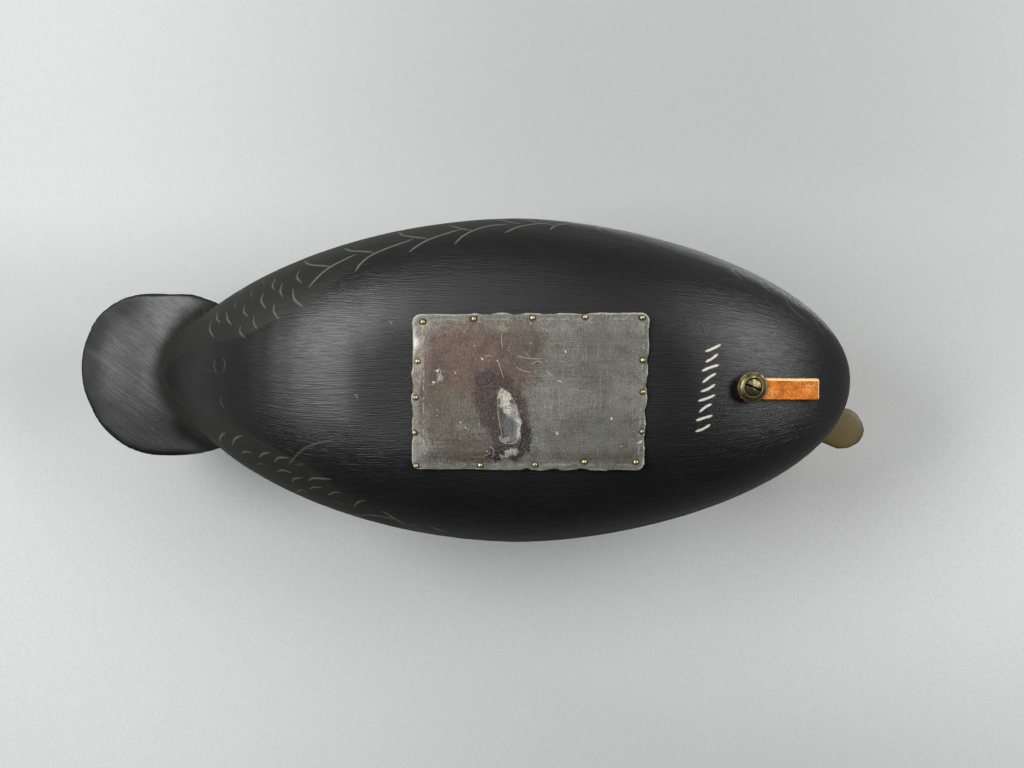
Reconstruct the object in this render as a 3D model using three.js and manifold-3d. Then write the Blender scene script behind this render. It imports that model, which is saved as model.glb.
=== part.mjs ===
// A black duck decoy: a hollow-built wooden gunning decoy, drawn here as solid wood, with its
// ballast plate, the tacks that hold the plate, and the line tie under the breast.
//
// Millimetres. +X is forward, towards the breast and bill. +Y is the duck's left. +Z is up.
// The decoy stands upright on its ballast plate, and the origin is on the plate's flat lower face.

import * as THREE from "three";
import { mergeVertices } from "three/addons/utils/BufferGeometryUtils.js";
import Module from "manifold-3d";

const wasm = await Module();
wasm.setup();

// Driving dimensions
const GAP = 0.3; // clearance between two pieces that touch
const UP = new THREE.Vector3(0, 1, 0); // the way that turned shapes stand before they are placed

const BODY = {
  widestX: -9, // station of the greatest beam
  breastX: 156, // foremost point of the breast
  rumpX: -210, // where the rump ends under the tail
  halfBeam: 81.5,
  keelZ: 0.6, // lowest line of the rounded belly, before the flat is planed
  flatZ: 3, // the belly is planed flat here to seat the plate
  beamZ: 51, // level of the greatest beam
  breastZ: 58,
  rumpZ: 91,
  backZ: 112,
  belly: { frontX: 30, rearX: -40 }, // the keel line rises ahead of and behind these stations
};

// How full the body's lines are: the powers for swept(), or one power for a plain curve
const LINES = {
  ahead: { beam: [1.65, 0.5], keel: [2.3, 0.5], back: [3.5, 0.5], level: 2 },
  behind: { beam: [1.95, 0.72], keel: 2.85, back: [1.45, 0.5], level: 1.9 },
  section: { above: 1.95, below: 2.45 }, // 2 would be a plain ellipse
};

const TAIL = {
  x: -208, // station of its greatest width
  z: 96,
  halfWidth: 45.6,
  rearward: 49.2,
  forward: 68,
  edge: 2.6, // thickness at the rim
  swell: 4, // extra half thickness in the middle
  rise: 0.04, // the board climbs this much for each millimetre towards its end
  droop: 1.5, // its two sides hang this much
  skew: 0.05, // its outline is cut a little askew about skewX
  skewX: -250,
  squareness: 2.4, // 2 would end it in a half ellipse
};

// Where the neck stands on the back. The neck's lowest levels lean with the seat by its share.
const SEAT = { x: 93, z: 101.2, slope: -0.219, halfLength: 34, halfWidth: 26, share: 0.8 };

const HEAD = {
  pivot: new THREE.Vector2(74, 1), // the head is turned about this point
  turn: THREE.MathUtils.degToRad(19.3), // towards the duck's left
  eggTaper: 0.15, // how much narrower the face is than the nape
  topZ: 177.5,
  topS: 17,
  fullness: 2.1, // of its level sections
};

// The head carver's pattern. Each level gives its height, how far the nape and the face reach
// along the head's axis from the pivot, its half width, and its share of the head's turn.
const HEAD_LEVELS = [
  { z: 105.5, nape: -12.2, face: 49.5, half: 23.4, turned: 0.03 },
  { z: 111, nape: -10, face: 48, half: 21.7, turned: 0.1 },
  { z: 117, nape: -8, face: 47.2, half: 20.2, turned: 0.3 },
  { z: 124, nape: -6.5, face: 47, half: 19.2, turned: 0.6 },
  { z: 132, nape: -6.5, face: 49, half: 18.6, turned: 0.88 },
  { z: 140, nape: -8.5, face: 53, half: 19.4, turned: 1 },
  { z: 148, nape: -10.3, face: 55, half: 20.4, turned: 1 },
  { z: 156, nape: -10.3, face: 53, half: 20.2, turned: 1 },
  { z: 163, nape: -8, face: 48, half: 18.2, turned: 1 },
  { z: 169, nape: -3.5, face: 41.5, half: 15, turned: 1 },
  { z: 173.5, nape: 2.5, face: 34, half: 11, turned: 1 },
  { z: 176.4, nape: 9, face: 26, half: 6, turned: 1 },
];

const BILL = {
  tipS: 108, // distance of the tip from the pivot
  nail: 14.6, // length of the rounded end
  halfWidth: 12.3, // of the spoon-shaped end
  tipZ: 126,
  nailRidge: [130.6, 127.4], // where the rounded end's ridge starts and stops
  nailUnder: [123.9, 125.1], // and its underside
  rootZ: 145, // middle of its root, inside the head
  rimShare: 0.3, // its widest line is this far up from the underside
  fullness: { across: 2.3, up: 2.1 },
};

// The bill's pattern up to its rounded end: distance from the pivot, half width, ridge and underside
const BILL_STATIONS = [
  { s: 40, half: 15.5, ridge: 162, under: 131 },
  { s: 50, half: 13.4, ridge: 157, under: 130.8 },
  { s: 57, half: 11.9, ridge: 151, under: 130 },
  { s: 65, half: 10.9, ridge: 144.4, under: 128.6 },
  { s: 73, half: 10.5, ridge: 138.9, under: 127 },
  { s: 81, half: 10.8, ridge: 134.6, under: 125.4 },
  { s: 88, half: 11.4, ridge: 131.8, under: 124.2 },
];

const EYE = { radius: 5, s: 34, side: 13.8, z: 157.5 };

const PLATE = {
  corners: { // hand-cut, so no two sides are quite parallel
    rearRight: new THREE.Vector2(-55.4, -35.9),
    frontRight: new THREE.Vector2(56.3, -36.5),
    frontLeft: new THREE.Vector2(53.8, 37.9),
    rearLeft: new THREE.Vector2(-56.3, 38.5),
  },
  cornerRadius: 4,
  leastRadius: 0.8, // where the border's inner lines turn a corner
  wave: 0.45, // how far the snipped edge wanders
  waveTurn: 0.55, // and how fast, in radians for each millimetre
  waveShift: 1.7, // each side starts its wander this much later
  step: 7, // length of one snip
  edgeRound: 0.4, // the edge is rounded over this much
  rimWidth: 7.3, // the hammered border
  rimRise: 1.5, // how far the hammered edge stands back from the main face
  shoulderWidth: 5.8, // the border is nearly level this far in
  shoulderRise: 1.15,
};

const TACK = {
  headRadius: 1.15,
  headHeight: 0.75,
  rim: 0.15,
  shankRadius: 0.5,
  depth: 5, // in the wood
  point: 2,
  lift: 0.12, // the heads stand this far off the hammered border
};

// The tacks along each side of the plate, nailed by eye: station on the side, and inset from its edge
const TACKS_ON = {
  right: [[-49.8, 4.3], [-25.8, 3], [1.6, 2.6], [25.9, 2.5], [52.1, 2.8]],
  front: [[-14, 3], [0.7, 2.5], [19.1, 1.9]],
  left: [[-53.7, 2.3], [-23.2, 2.7], [2.5, 3.1], [25.6, 4.5], [49.5, 4.5]],
  rear: [[-13.2, 3.2], [3.9, 2.3], [20.5, 1.8]],
};

const TIE = {
  x: 101.5, // where the screw enters the belly
  y: -1.6,
  strapWidth: 9.9,
  strapY: -0.8, // the strap's middle at the screw
  strapTurn: 0.046, // the strap leans to the duck's left by this much per millimetre
  leather: 1.6, // thickness of one layer
  eye: 0.5, // narrow opening left between the two layers for a line
  eyeStart: 9, // it starts this far ahead of the screw
  tail: 4.2, // leather behind the screw
  reach: 35.8, // leather ahead of the screw, measured along the belly
};

const WASHER = { radius: 7, height: 2, rim: 0.6, lip: 0.9, round: 0.2, mouth: 4.5, bore: 2.4, floor: 0.45 };

const SCREW = {
  headRadius: 4.05,
  neckZ: 0.35, // where the head starts to flare, above the washer's foot
  flareZ: 1.8, // where it is at its widest
  crown: 2.75,
  shankRadius: 1.75,
  depth: 14,
  point: 3,
  slotWidth: 1.1,
  slotDepth: 0.9,
  slotTurn: THREE.MathUtils.degToRad(24),
};

// Materials
const blackPaint = new THREE.MeshStandardMaterial({ color: 0x2a2b2b, roughness: 0.55, metalness: 0 });
const headPaint = new THREE.MeshStandardMaterial({ color: 0x4a4036, roughness: 0.6, metalness: 0 });
const rolledLead = new THREE.MeshStandardMaterial({ color: 0x6f6e69, roughness: 0.6, metalness: 0.6 });
const tackBrass = new THREE.MeshStandardMaterial({ color: 0xb59a5a, roughness: 0.35, metalness: 1 });
const agedBrass = new THREE.MeshStandardMaterial({ color: 0x7d7155, roughness: 0.5, metalness: 1 });
const strapLeather = new THREE.MeshStandardMaterial({ color: 0xc8803a, roughness: 0.8, metalness: 0 });
const eyeGlass = new THREE.MeshStandardMaterial({ color: 0x2b1608, roughness: 0.05, metalness: 0 });

/** The part of an ellipse-like curve that falls from 1 to 0 as t goes from 0 to 1. */
function swept(t, p, q) {
  const u = THREE.MathUtils.clamp(t, 0, 1);
  return Math.pow(1 - Math.pow(u, p), q);
}

/** A signed power, which turns a circle's sine or cosine into a fuller oval's. */
function fuller(value, fullness) {
  return Math.sign(value) * Math.pow(Math.abs(value), 2 / fullness);
}

/** A closed mesh through rings of equal count, with a point at each end. */
function loftMesh(rings, startPole, endPole) {
  const count = rings[0].length;
  const points = [startPole, ...rings.flat(), endPole];
  const last = points.length - 1;
  const index = [];
  const at = (ring, k) => 1 + ring * count + (k % count);
  for (let k = 0; k < count; k += 1) {
    index.push(0, at(0, k + 1), at(0, k));
    index.push(last, at(rings.length - 1, k), at(rings.length - 1, k + 1));
  }
  for (let ring = 0; ring < rings.length - 1; ring += 1) {
    for (let k = 0; k < count; k += 1) {
      index.push(at(ring, k), at(ring, k + 1), at(ring + 1, k + 1));
      index.push(at(ring, k), at(ring + 1, k + 1), at(ring + 1, k));
    }
  }
  const geometry = new THREE.BufferGeometry();
  const numbers = points.flatMap((p) => [p.x, p.y, p.z]);
  geometry.setAttribute("position", new THREE.Float32BufferAttribute(numbers, 3));
  geometry.setIndex(index);
  return facingOut(geometry);
}

/** Turns a closed mesh the right way round if its volume comes out negative. */
function facingOut(geometry) {
  const position = geometry.getAttribute("position");
  const index = geometry.getIndex().array;
  const corner = [new THREE.Vector3(), new THREE.Vector3(), new THREE.Vector3()];
  let volume = 0;
  for (let i = 0; i < index.length; i += 3) {
    corner.forEach((v, k) => v.fromBufferAttribute(position, index[i + k]));
    volume += corner[0].dot(corner[1].cross(corner[2]));
  }
  if (volume < 0) {
    for (let i = 0; i < index.length; i += 3) {
      [index[i + 1], index[i + 2]] = [index[i + 2], index[i + 1]];
    }
  }
  return geometry;
}

/** A geometry as a solid that can be joined or cut. */
function solidOf(geometry) {
  const plain = geometry.clone();
  plain.deleteAttribute("normal");
  plain.deleteAttribute("uv");
  const merged = mergeVertices(plain, 1e-4);
  const vertProperties = Float32Array.from(merged.getAttribute("position").array);
  const triVerts = Uint32Array.from(merged.getIndex().array);
  return new wasm.Manifold(new wasm.Mesh({ numProp: 3, vertProperties, triVerts }));
}

/** A solid back as a geometry. */
function geometryOf(solid) {
  const mesh = solid.getMesh();
  const geometry = new THREE.BufferGeometry();
  const numbers = Float32Array.from(mesh.vertProperties);
  geometry.setAttribute("position", new THREE.BufferAttribute(numbers, 3));
  geometry.setIndex(Array.from(mesh.triVerts));
  return geometry;
}

/** A named mesh with flat-lit facets. */
function piece(name, geometry, material) {
  const shown = geometry.index ? geometry : mergeVertices(geometry);
  shown.computeVertexNormals();
  const mesh = new THREE.Mesh(shown, material);
  mesh.name = name;
  return mesh;
}

// Body
/** The body's lines at one station: half beam, and the levels of keel, beam and back. */
function bodyLines(x) {
  return x >= BODY.widestX ? foreLines(x) : aftLines(x);
}

/** The lines ahead of the greatest beam. */
function foreLines(x) {
  const { halfBeam, breastZ, keelZ, beamZ, backZ } = BODY;
  const ahead = (x - BODY.widestX) / (BODY.breastX - BODY.widestX);
  const rise = (x - BODY.belly.frontX) / (BODY.breastX - BODY.belly.frontX);
  return {
    half: halfBeam * swept(ahead, ...LINES.ahead.beam),
    keel: breastZ - (breastZ - keelZ) * swept(rise, ...LINES.ahead.keel),
    beam: beamZ + (breastZ - beamZ) * Math.pow(ahead, LINES.ahead.level),
    back: breastZ + (backZ - breastZ) * swept(ahead, ...LINES.ahead.back),
  };
}

/** The lines behind the greatest beam. */
function aftLines(x) {
  const { halfBeam, rumpZ, keelZ, beamZ, backZ } = BODY;
  const behind = (BODY.widestX - x) / (BODY.widestX - BODY.rumpX);
  const rise = Math.max((BODY.belly.rearX - x) / (BODY.belly.rearX - BODY.rumpX), 0);
  return {
    half: halfBeam * swept(behind, ...LINES.behind.beam),
    keel: keelZ + (rumpZ - keelZ) * Math.pow(rise, LINES.behind.keel),
    beam: beamZ + (rumpZ - beamZ) * Math.pow(behind, LINES.behind.level),
    back: rumpZ + (backZ - rumpZ) * swept(behind, ...LINES.behind.back),
  };
}

/** One cross-section of the body, with the belly planed flat where the plate sits. */
function bodyRing(x, count) {
  const { half, keel, beam, back } = bodyLines(x);
  const ring = [];
  for (let k = 0; k < count; k += 1) {
    const angle = (2 * Math.PI * k) / count;
    const above = Math.sin(angle) > 0;
    const fullness = above ? LINES.section.above : LINES.section.below;
    const y = half * fuller(Math.cos(angle), fullness);
    const z = beam + (above ? back - beam : beam - keel) * fuller(Math.sin(angle), fullness);
    ring.push(new THREE.Vector3(x, y, Math.max(z, BODY.flatZ)));
  }
  return ring;
}

/** The rounded hull, from the rump to the breast. */
function hull() {
  const rings = [];
  const steps = 20;
  const around = 40;
  for (let i = -steps + 1; i < steps; i += 1) {
    const reach = i < 0 ? BODY.widestX - BODY.rumpX : BODY.breastX - BODY.widestX;
    const x = BODY.widestX + reach * Math.sin((i / steps) * (Math.PI / 2));
    rings.push(bodyRing(x, around));
  }
  const rump = new THREE.Vector3(BODY.rumpX, 0, BODY.rumpZ);
  const breast = new THREE.Vector3(BODY.breastX, 0, BODY.breastZ);
  return loftMesh(rings, rump, breast);
}

/** A point of the tail board: angle round it, share of the way to its rim, and side. */
function tailPoint(angle, out, side) {
  const along = Math.cos(angle);
  const across = Math.sin(angle);
  const reach = along < 0 ? TAIL.rearward : TAIL.forward;
  const squared = Math.sign(across) * swept(Math.abs(along), TAIL.squareness, 0.5);
  const x = TAIL.x + along * reach * out;
  const y = TAIL.halfWidth * (along < 0 ? squared : across) * out;
  const middle = TAIL.z - TAIL.rise * (x - TAIL.x) - TAIL.droop * Math.pow(y / TAIL.halfWidth, 2);
  const thick = TAIL.edge / 2 + TAIL.swell * (1 - out * out);
  return new THREE.Vector3(x, y + TAIL.skew * (x - TAIL.skewX), middle + side * thick);
}

/** A ring of points round the tail board. */
function tailRing(out, side) {
  const around = 40;
  return Array.from({ length: around }, (_, k) => tailPoint((2 * Math.PI * k) / around, out, side));
}

/** The tail: a thin carved paddle, thick in the middle and thin at its rim. */
function tail() {
  const outs = [0.45, 0.8, 1];
  const above = outs.map((out) => tailRing(out, 1));
  const below = outs.map((out) => tailRing(out, -1)).reverse();
  return loftMesh([...above, ...below], tailPoint(0, 0, 1), tailPoint(0, 0, -1));
}

/** The plane that the neck stands on, at one station. */
function seatZ(x) {
  return SEAT.z + SEAT.slope * (x - SEAT.x);
}

/** An oval of the neck's foot, grown by a margin and lifted above the seat. */
function footRing(count, margin, lift) {
  return Array.from({ length: count }, (_, k) => {
    const angle = (2 * Math.PI * k) / count;
    const x = SEAT.x + (SEAT.halfLength + margin) * Math.cos(angle);
    return new THREE.Vector3(x, (SEAT.halfWidth + margin) * Math.sin(angle), seatZ(x) + lift);
  });
}

/** The wood that is cut away from the back to seat the neck: the neck's own foot, a little larger. */
function seatCut() {
  const count = 36;
  const grown = HEAD_LEVELS.slice(0, 3).map((level) => ({
    ...level,
    nape: level.nape - GAP,
    face: level.face + GAP,
    half: level.half + GAP,
  }));
  const rings = [footRing(count, GAP, 0), ...grown.map((level) => headRing(level, count))];
  const { nape, face, z } = grown.at(-1);
  const foot = new THREE.Vector3(SEAT.x, 0, SEAT.z);
  return loftMesh(rings, foot, headPoint((nape + face) / 2, 0, z + 3));
}

/** A cylinder along an axis, standing on a point. */
function rod(radius, from, to, sides) {
  const axis = to.clone().sub(from);
  const geometry = new THREE.CylinderGeometry(radius, radius, axis.length(), sides);
  geometry.applyQuaternion(new THREE.Quaternion().setFromUnitVectors(UP, axis.normalize()));
  const middle = from.clone().add(to).multiplyScalar(0.5);
  return geometry.translate(middle.x, middle.y, middle.z);
}

/** The body and tail, carved from one block, with the neck's seat, tack holes and screw hole. */
function body() {
  let wood = solidOf(hull()).add(solidOf(tail())).subtract(solidOf(seatCut()));
  for (const tack of tackPlaces()) {
    wood = wood.subtract(solidOf(tackHole(tack)));
  }
  return geometryOf(wood.subtract(solidOf(screwHole(SCREW.depth + 1))));
}

// Head
/** A point in the head's own turned directions: along its axis, to its left, and up. */
function headPoint(s, side, z, turned = 1) {
  const turn = HEAD.turn * turned;
  const x = HEAD.pivot.x + s * Math.cos(turn) - side * Math.sin(turn);
  const y = HEAD.pivot.y * turned + s * Math.sin(turn) + side * Math.cos(turn);
  return new THREE.Vector3(x, y, z);
}

/** One level section of the neck or head, an oval that is narrower at the face. */
function headRing(level, count) {
  const middle = (level.face + level.nape) / 2;
  const long = (level.face - level.nape) / 2;
  const tilt = SEAT.slope * SEAT.share * (1 - level.turned);
  return Array.from({ length: count }, (_, k) => {
    const angle = (2 * Math.PI * k) / count;
    const s = middle + long * fuller(Math.cos(angle), HEAD.fullness);
    const narrow = 1 - HEAD.eggTaper * level.turned * Math.cos(angle);
    const side = level.half * narrow * fuller(Math.sin(angle), HEAD.fullness);
    const point = headPoint(s, side, level.z, level.turned);
    point.z += tilt * (point.x - SEAT.x);
    return point;
  });
}

/** Neck and skull in one loft that stands on the sloping seat. */
function neckAndSkull() {
  const count = 36;
  const rings = [footRing(count, 0, GAP), ...HEAD_LEVELS.map((level) => headRing(level, count))];
  const foot = new THREE.Vector3(SEAT.x, 0, SEAT.z + GAP);
  return loftMesh(rings, foot, headPoint(HEAD.topS, 0, HEAD.topZ));
}

/** One upright section of the bill, flatter below than above. */
function billRing(station, count) {
  const rim = THREE.MathUtils.lerp(station.under, station.ridge, BILL.rimShare);
  return Array.from({ length: count }, (_, k) => {
    const angle = (2 * Math.PI * k) / count;
    const side = station.half * fuller(Math.cos(angle), BILL.fullness.across);
    const reach = Math.sin(angle) > 0 ? station.ridge - rim : rim - station.under;
    return headPoint(station.s, side, rim + reach * fuller(Math.sin(angle), BILL.fullness.up));
  });
}

/** The bill, with a flat rounded end. */
function bill() {
  const count = 20;
  const nail = [0.25, 0.5, 0.7, 0.86, 0.96].map((t) => ({
    s: BILL.tipS - BILL.nail * (1 - t),
    half: BILL.halfWidth * Math.sqrt(1 - t * t),
    ridge: THREE.MathUtils.lerp(...BILL.nailRidge, t),
    under: THREE.MathUtils.lerp(...BILL.nailUnder, t * t),
  }));
  const rings = [...BILL_STATIONS, ...nail].map((station) => billRing(station, count));
  const root = headPoint(BILL_STATIONS[0].s, 0, BILL.rootZ);
  return loftMesh(rings, root, headPoint(BILL.tipS, 0, BILL.tipZ));
}

/** Where an eye sits, on the duck's left (1) or right (-1). */
function eyeCentre(side) {
  return headPoint(EYE.s, side * EYE.side, EYE.z);
}

/** A ball of glass, or the socket for it. */
function eyeBall(side, radius, facets) {
  const centre = eyeCentre(side);
  const ball = new THREE.SphereGeometry(radius, facets, facets - 4);
  return ball.translate(centre.x, centre.y, centre.z);
}

/** The head, carved as one with its neck and bill, with a socket for each eye. */
function head() {
  let wood = solidOf(neckAndSkull()).add(solidOf(bill()));
  for (const side of [1, -1]) {
    wood = wood.subtract(solidOf(eyeBall(side, EYE.radius + GAP, 14)));
  }
  return geometryOf(wood);
}

// Ballast plate and its tacks
/** The plate's hand-cut outline, drawn in from its edge by an inset. */
function plateOutline(inset) {
  const { rearRight, frontRight, frontLeft, rearLeft } = PLATE.corners;
  const corners = [rearRight, frontRight, frontLeft, rearLeft];
  return corners.flatMap((corner, i) => {
    const previous = corners[(i + 3) % 4];
    const next = corners[(i + 1) % 4];
    return [...plateCorner(previous, corner, next, inset), ...plateSide(corner, next, inset, i)];
  });
}

/** The radius of the plate's corners at an inset. */
function cornerRadius(inset) {
  return Math.max(PLATE.cornerRadius - inset, PLATE.leastRadius);
}

/** The rounding of one corner of the plate. */
function plateCorner(previous, corner, next, inset) {
  const before = previous.clone().sub(corner).normalize();
  const after = next.clone().sub(corner).normalize();
  const radius = cornerRadius(inset);
  const centre = corner.clone().addScaledVector(before, inset + radius);
  centre.addScaledVector(after, inset + radius);
  return [0, 30, 60, 90].map((turn) => {
    const spin = THREE.MathUtils.degToRad(turn);
    const spoke = centre.clone().addScaledVector(after, -radius * Math.cos(spin));
    return spoke.addScaledVector(before, -radius * Math.sin(spin));
  });
}

/** The snips along one side of the plate, between its two corners. */
function plateSide(corner, next, inset, i) {
  const after = next.clone().sub(corner).normalize();
  const across = new THREE.Vector2(-after.y, after.x);
  const side = next.distanceTo(corner);
  const steps = Math.round(side / PLATE.step);
  const start = inset + cornerRadius(inset);
  return Array.from({ length: steps - 1 }, (_, k) => {
    const share = (k + 1) / steps;
    const along = start + (side - 2 * start) * share;
    const wander = Math.sin(along * PLATE.waveTurn + i * PLATE.waveShift) * Math.sin(Math.PI * share);
    const point = corner.clone().addScaledVector(after, along);
    return point.addScaledVector(across, inset + PLATE.wave * wander);
  });
}

/** A ring of the plate's outline at one height. */
function plateRing(inset, z) {
  return plateOutline(inset).map((p) => new THREE.Vector3(p.x, p.y, z));
}

/** The lead plate: a flat sheet with its border hammered up towards the belly. */
function plate() {
  const top = BODY.flatZ - GAP;
  const rings = [
    plateRing(PLATE.edgeRound, top),
    plateRing(0, (top + PLATE.rimRise) / 2),
    plateRing(PLATE.edgeRound, PLATE.rimRise),
    plateRing(PLATE.shoulderWidth, PLATE.shoulderRise),
    plateRing(PLATE.rimWidth, 0),
  ];
  let sheet = solidOf(loftMesh(rings, new THREE.Vector3(0, 0, top), new THREE.Vector3(0, 0, 0)));
  for (const tack of tackPlaces()) {
    sheet = sheet.subtract(solidOf(tackHole(tack)));
  }
  return geometryOf(sheet);
}

/** Where the tacks go: along the four sides, a little in from the edge. */
function tackPlaces() {
  const { rearRight, frontRight, frontLeft, rearLeft } = PLATE.corners;
  const alongX = (from, to, [x, inset], inward) => {
    const edge = from.clone().lerp(to, (x - from.x) / (to.x - from.x));
    return new THREE.Vector2(x, edge.y + inward * inset);
  };
  const alongY = (from, to, [y, inset], inward) => {
    const edge = from.clone().lerp(to, (y - from.y) / (to.y - from.y));
    return new THREE.Vector2(edge.x + inward * inset, y);
  };
  return [
    ...TACKS_ON.right.map((spot) => alongX(rearRight, frontRight, spot, 1)),
    ...TACKS_ON.front.map((spot) => alongY(frontRight, frontLeft, spot, -1)),
    ...TACKS_ON.left.map((spot) => alongX(rearLeft, frontLeft, spot, -1)),
    ...TACKS_ON.rear.map((spot) => alongY(rearRight, rearLeft, spot, 1)),
  ];
}

/** The hole for one tack, through the plate and into the belly. */
function tackHole(place) {
  const from = new THREE.Vector3(place.x, place.y, -1);
  const to = new THREE.Vector3(place.x, place.y, BODY.flatZ + TACK.depth + GAP);
  return rod(TACK.shankRadius + GAP, from, to, 6);
}

/** A brass tack, its domed head under the plate's border and its shank pointing up. */
function tack(place) {
  const under = PLATE.shoulderRise - TACK.lift;
  const r = TACK.headRadius;
  const profile = [
    new THREE.Vector2(0, under - TACK.headHeight),
    new THREE.Vector2(r * 0.6, under - TACK.headHeight * 0.8),
    new THREE.Vector2(r, under - TACK.rim),
    new THREE.Vector2(r * 0.97, under),
    new THREE.Vector2(TACK.shankRadius, under),
    new THREE.Vector2(TACK.shankRadius, BODY.flatZ + TACK.depth - TACK.point),
    new THREE.Vector2(0, BODY.flatZ + TACK.depth),
  ];
  const geometry = new THREE.LatheGeometry(profile, 8).rotateX(Math.PI / 2);
  return closedLathe(geometry).translate(place.x, place.y, 0);
}

/** A lathe whose seam and poles are merged, facing outward. */
function closedLathe(geometry) {
  geometry.deleteAttribute("normal");
  geometry.deleteAttribute("uv");
  return facingOut(withoutSlivers(mergeVertices(geometry, 1e-4)));
}

/** Leaves out triangles that have lost an edge at a merged pole. */
function withoutSlivers(geometry) {
  const index = Array.from(geometry.getIndex().array);
  const kept = [];
  for (let i = 0; i < index.length; i += 3) {
    const [a, b, c] = index.slice(i, i + 3);
    if (a !== b && b !== c && c !== a) {
      kept.push(a, b, c);
    }
  }
  geometry.setIndex(kept);
  return geometry;
}

// Line tie
/** A point on the belly's centre line, and the direction straight out of the wood there. */
function bellyAt(x) {
  const step = 0.5;
  const slope = (bodyLines(x + step).keel - bodyLines(x - step).keel) / (2 * step);
  const out = new THREE.Vector3(slope, 0, -1).normalize();
  const level = Math.max(bodyLines(x).keel, BODY.flatZ);
  return { point: new THREE.Vector3(x, TIE.y, level), out };
}

/** A point at a height above the belly, so far along it from the screw. */
function overBelly(along, height) {
  let x = TIE.x;
  const steps = 24;
  for (let k = 0; k < steps; k += 1) {
    const slope = bellyAt(x).out.x / -bellyAt(x).out.z;
    x += along / steps / Math.hypot(1, slope);
  }
  const { point, out } = bellyAt(x);
  return point.addScaledVector(out, height);
}

/** Points at one height above the belly, evenly from one place along it to another. */
function lineOverBelly(start, end, count, height) {
  return Array.from({ length: count }, (_, k) => {
    return overBelly(THREE.MathUtils.lerp(start, end, k / (count - 1)), height);
  });
}

/** The strap: one strip folded on itself, with a narrow eye between its two layers. */
function strap() {
  const inner = GAP;
  const outer = GAP + 2 * TIE.leather + TIE.eye;
  const fold = (outer - inner) / 2;
  const middle = (outer + inner) / 2;
  const end = TIE.reach - fold;
  const bend = [60, 30, 0, -30, -60].map((turn) => {
    const a = THREE.MathUtils.degToRad(turn);
    return overBelly(end + fold * Math.cos(a), middle + fold * Math.sin(a));
  });
  const outline = [
    ...lineOverBelly(-TIE.tail, end, 10, outer),
    ...bend,
    ...lineOverBelly(end, -TIE.tail, 10, inner),
  ];
  const eye = [
    ...lineOverBelly(TIE.eyeStart, end, 6, middle + TIE.eye / 2),
    ...lineOverBelly(end, TIE.eyeStart, 6, middle - TIE.eye / 2),
  ];
  const leather = solidOf(extrudedAcross(outline, TIE.strapWidth));
  const open = leather.subtract(solidOf(extrudedAcross(eye, TIE.strapWidth + 2)));
  return geometryOf(open.subtract(solidOf(screwHole(0))));
}

/** A side outline in the X-Z plane made as wide as a strap. */
function extrudedAcross(outline, width) {
  const shape = new THREE.Shape(outline.map((p) => new THREE.Vector2(p.x, p.z)));
  const geometry = new THREE.ExtrudeGeometry(shape, { depth: width, bevelEnabled: false });
  geometry.rotateX(Math.PI / 2).translate(0, TIE.strapY + width / 2, 0);
  const position = geometry.getAttribute("position");
  for (let i = 0; i < position.count; i += 1) {
    position.setY(i, position.getY(i) + TIE.strapTurn * (position.getX(i) - TIE.x));
  }
  return facingOut(mergedPlain(geometry));
}

/** A geometry with only its positions, and shared vertices merged. */
function mergedPlain(geometry) {
  geometry.deleteAttribute("normal");
  geometry.deleteAttribute("uv");
  return mergeVertices(geometry, 1e-4);
}

/** Places a shape turned on the screw's axis: its +Y points out of the belly. */
function onTie(geometry, height) {
  const { out } = bellyAt(TIE.x);
  geometry.applyQuaternion(new THREE.Quaternion().setFromUnitVectors(UP, out));
  const at = overBelly(0, height);
  return geometry.translate(at.x, at.y, at.z);
}

/** The hole for the screw's shank, through the strap and this deep into the wood. */
function screwHole(depth) {
  const { point, out } = bellyAt(TIE.x);
  const from = point.clone().addScaledVector(out, -depth);
  const to = point.clone().addScaledVector(out, washerFoot() + GAP);
  return rod(SCREW.shankRadius + GAP, from, to, 12);
}

/** Height above the belly of the strap's outer face, where the washer sits. */
function washerFoot() {
  return GAP + 2 * TIE.leather + TIE.eye + GAP;
}

/** The brass cup washer. */
function washer() {
  const { radius, height, rim, lip, round, mouth, bore, floor } = WASHER;
  const profile = [
    new THREE.Vector2(bore, 0),
    new THREE.Vector2(radius - round, 0),
    new THREE.Vector2(radius, rim / 2),
    new THREE.Vector2(radius - round, rim),
    new THREE.Vector2(mouth + lip, height - round / 2),
    new THREE.Vector2(mouth + lip / 3, height),
    new THREE.Vector2(mouth, height - round),
    new THREE.Vector2(bore + round / 2, floor),
    new THREE.Vector2(bore, 0),
  ];
  return onTie(closedLathe(new THREE.LatheGeometry(profile, 24)), washerFoot());
}

/** The slotted brass screw, its oval head in the washer's cup. */
function screw() {
  const { headRadius, neckZ, flareZ, crown, shankRadius, depth, point, slotWidth, slotDepth } = SCREW;
  const foot = washerFoot();
  const profile = [
    new THREE.Vector2(0, -foot - depth),
    new THREE.Vector2(shankRadius * 0.6, -foot - depth + point),
    new THREE.Vector2(shankRadius, -foot),
    new THREE.Vector2(shankRadius, neckZ),
    new THREE.Vector2(headRadius, flareZ),
    new THREE.Vector2(headRadius, flareZ + 0.2),
    new THREE.Vector2(headRadius * 0.66, crown - 0.22),
    new THREE.Vector2(0, crown),
  ];
  const slot = new THREE.BoxGeometry(2 * headRadius + 1, 2 * slotDepth, slotWidth);
  slot.rotateY(SCREW.slotTurn).translate(0, crown, 0);
  const turned = closedLathe(new THREE.LatheGeometry(profile, 20));
  return onTie(geometryOf(solidOf(turned).subtract(solidOf(slot))), foot);
}

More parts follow.
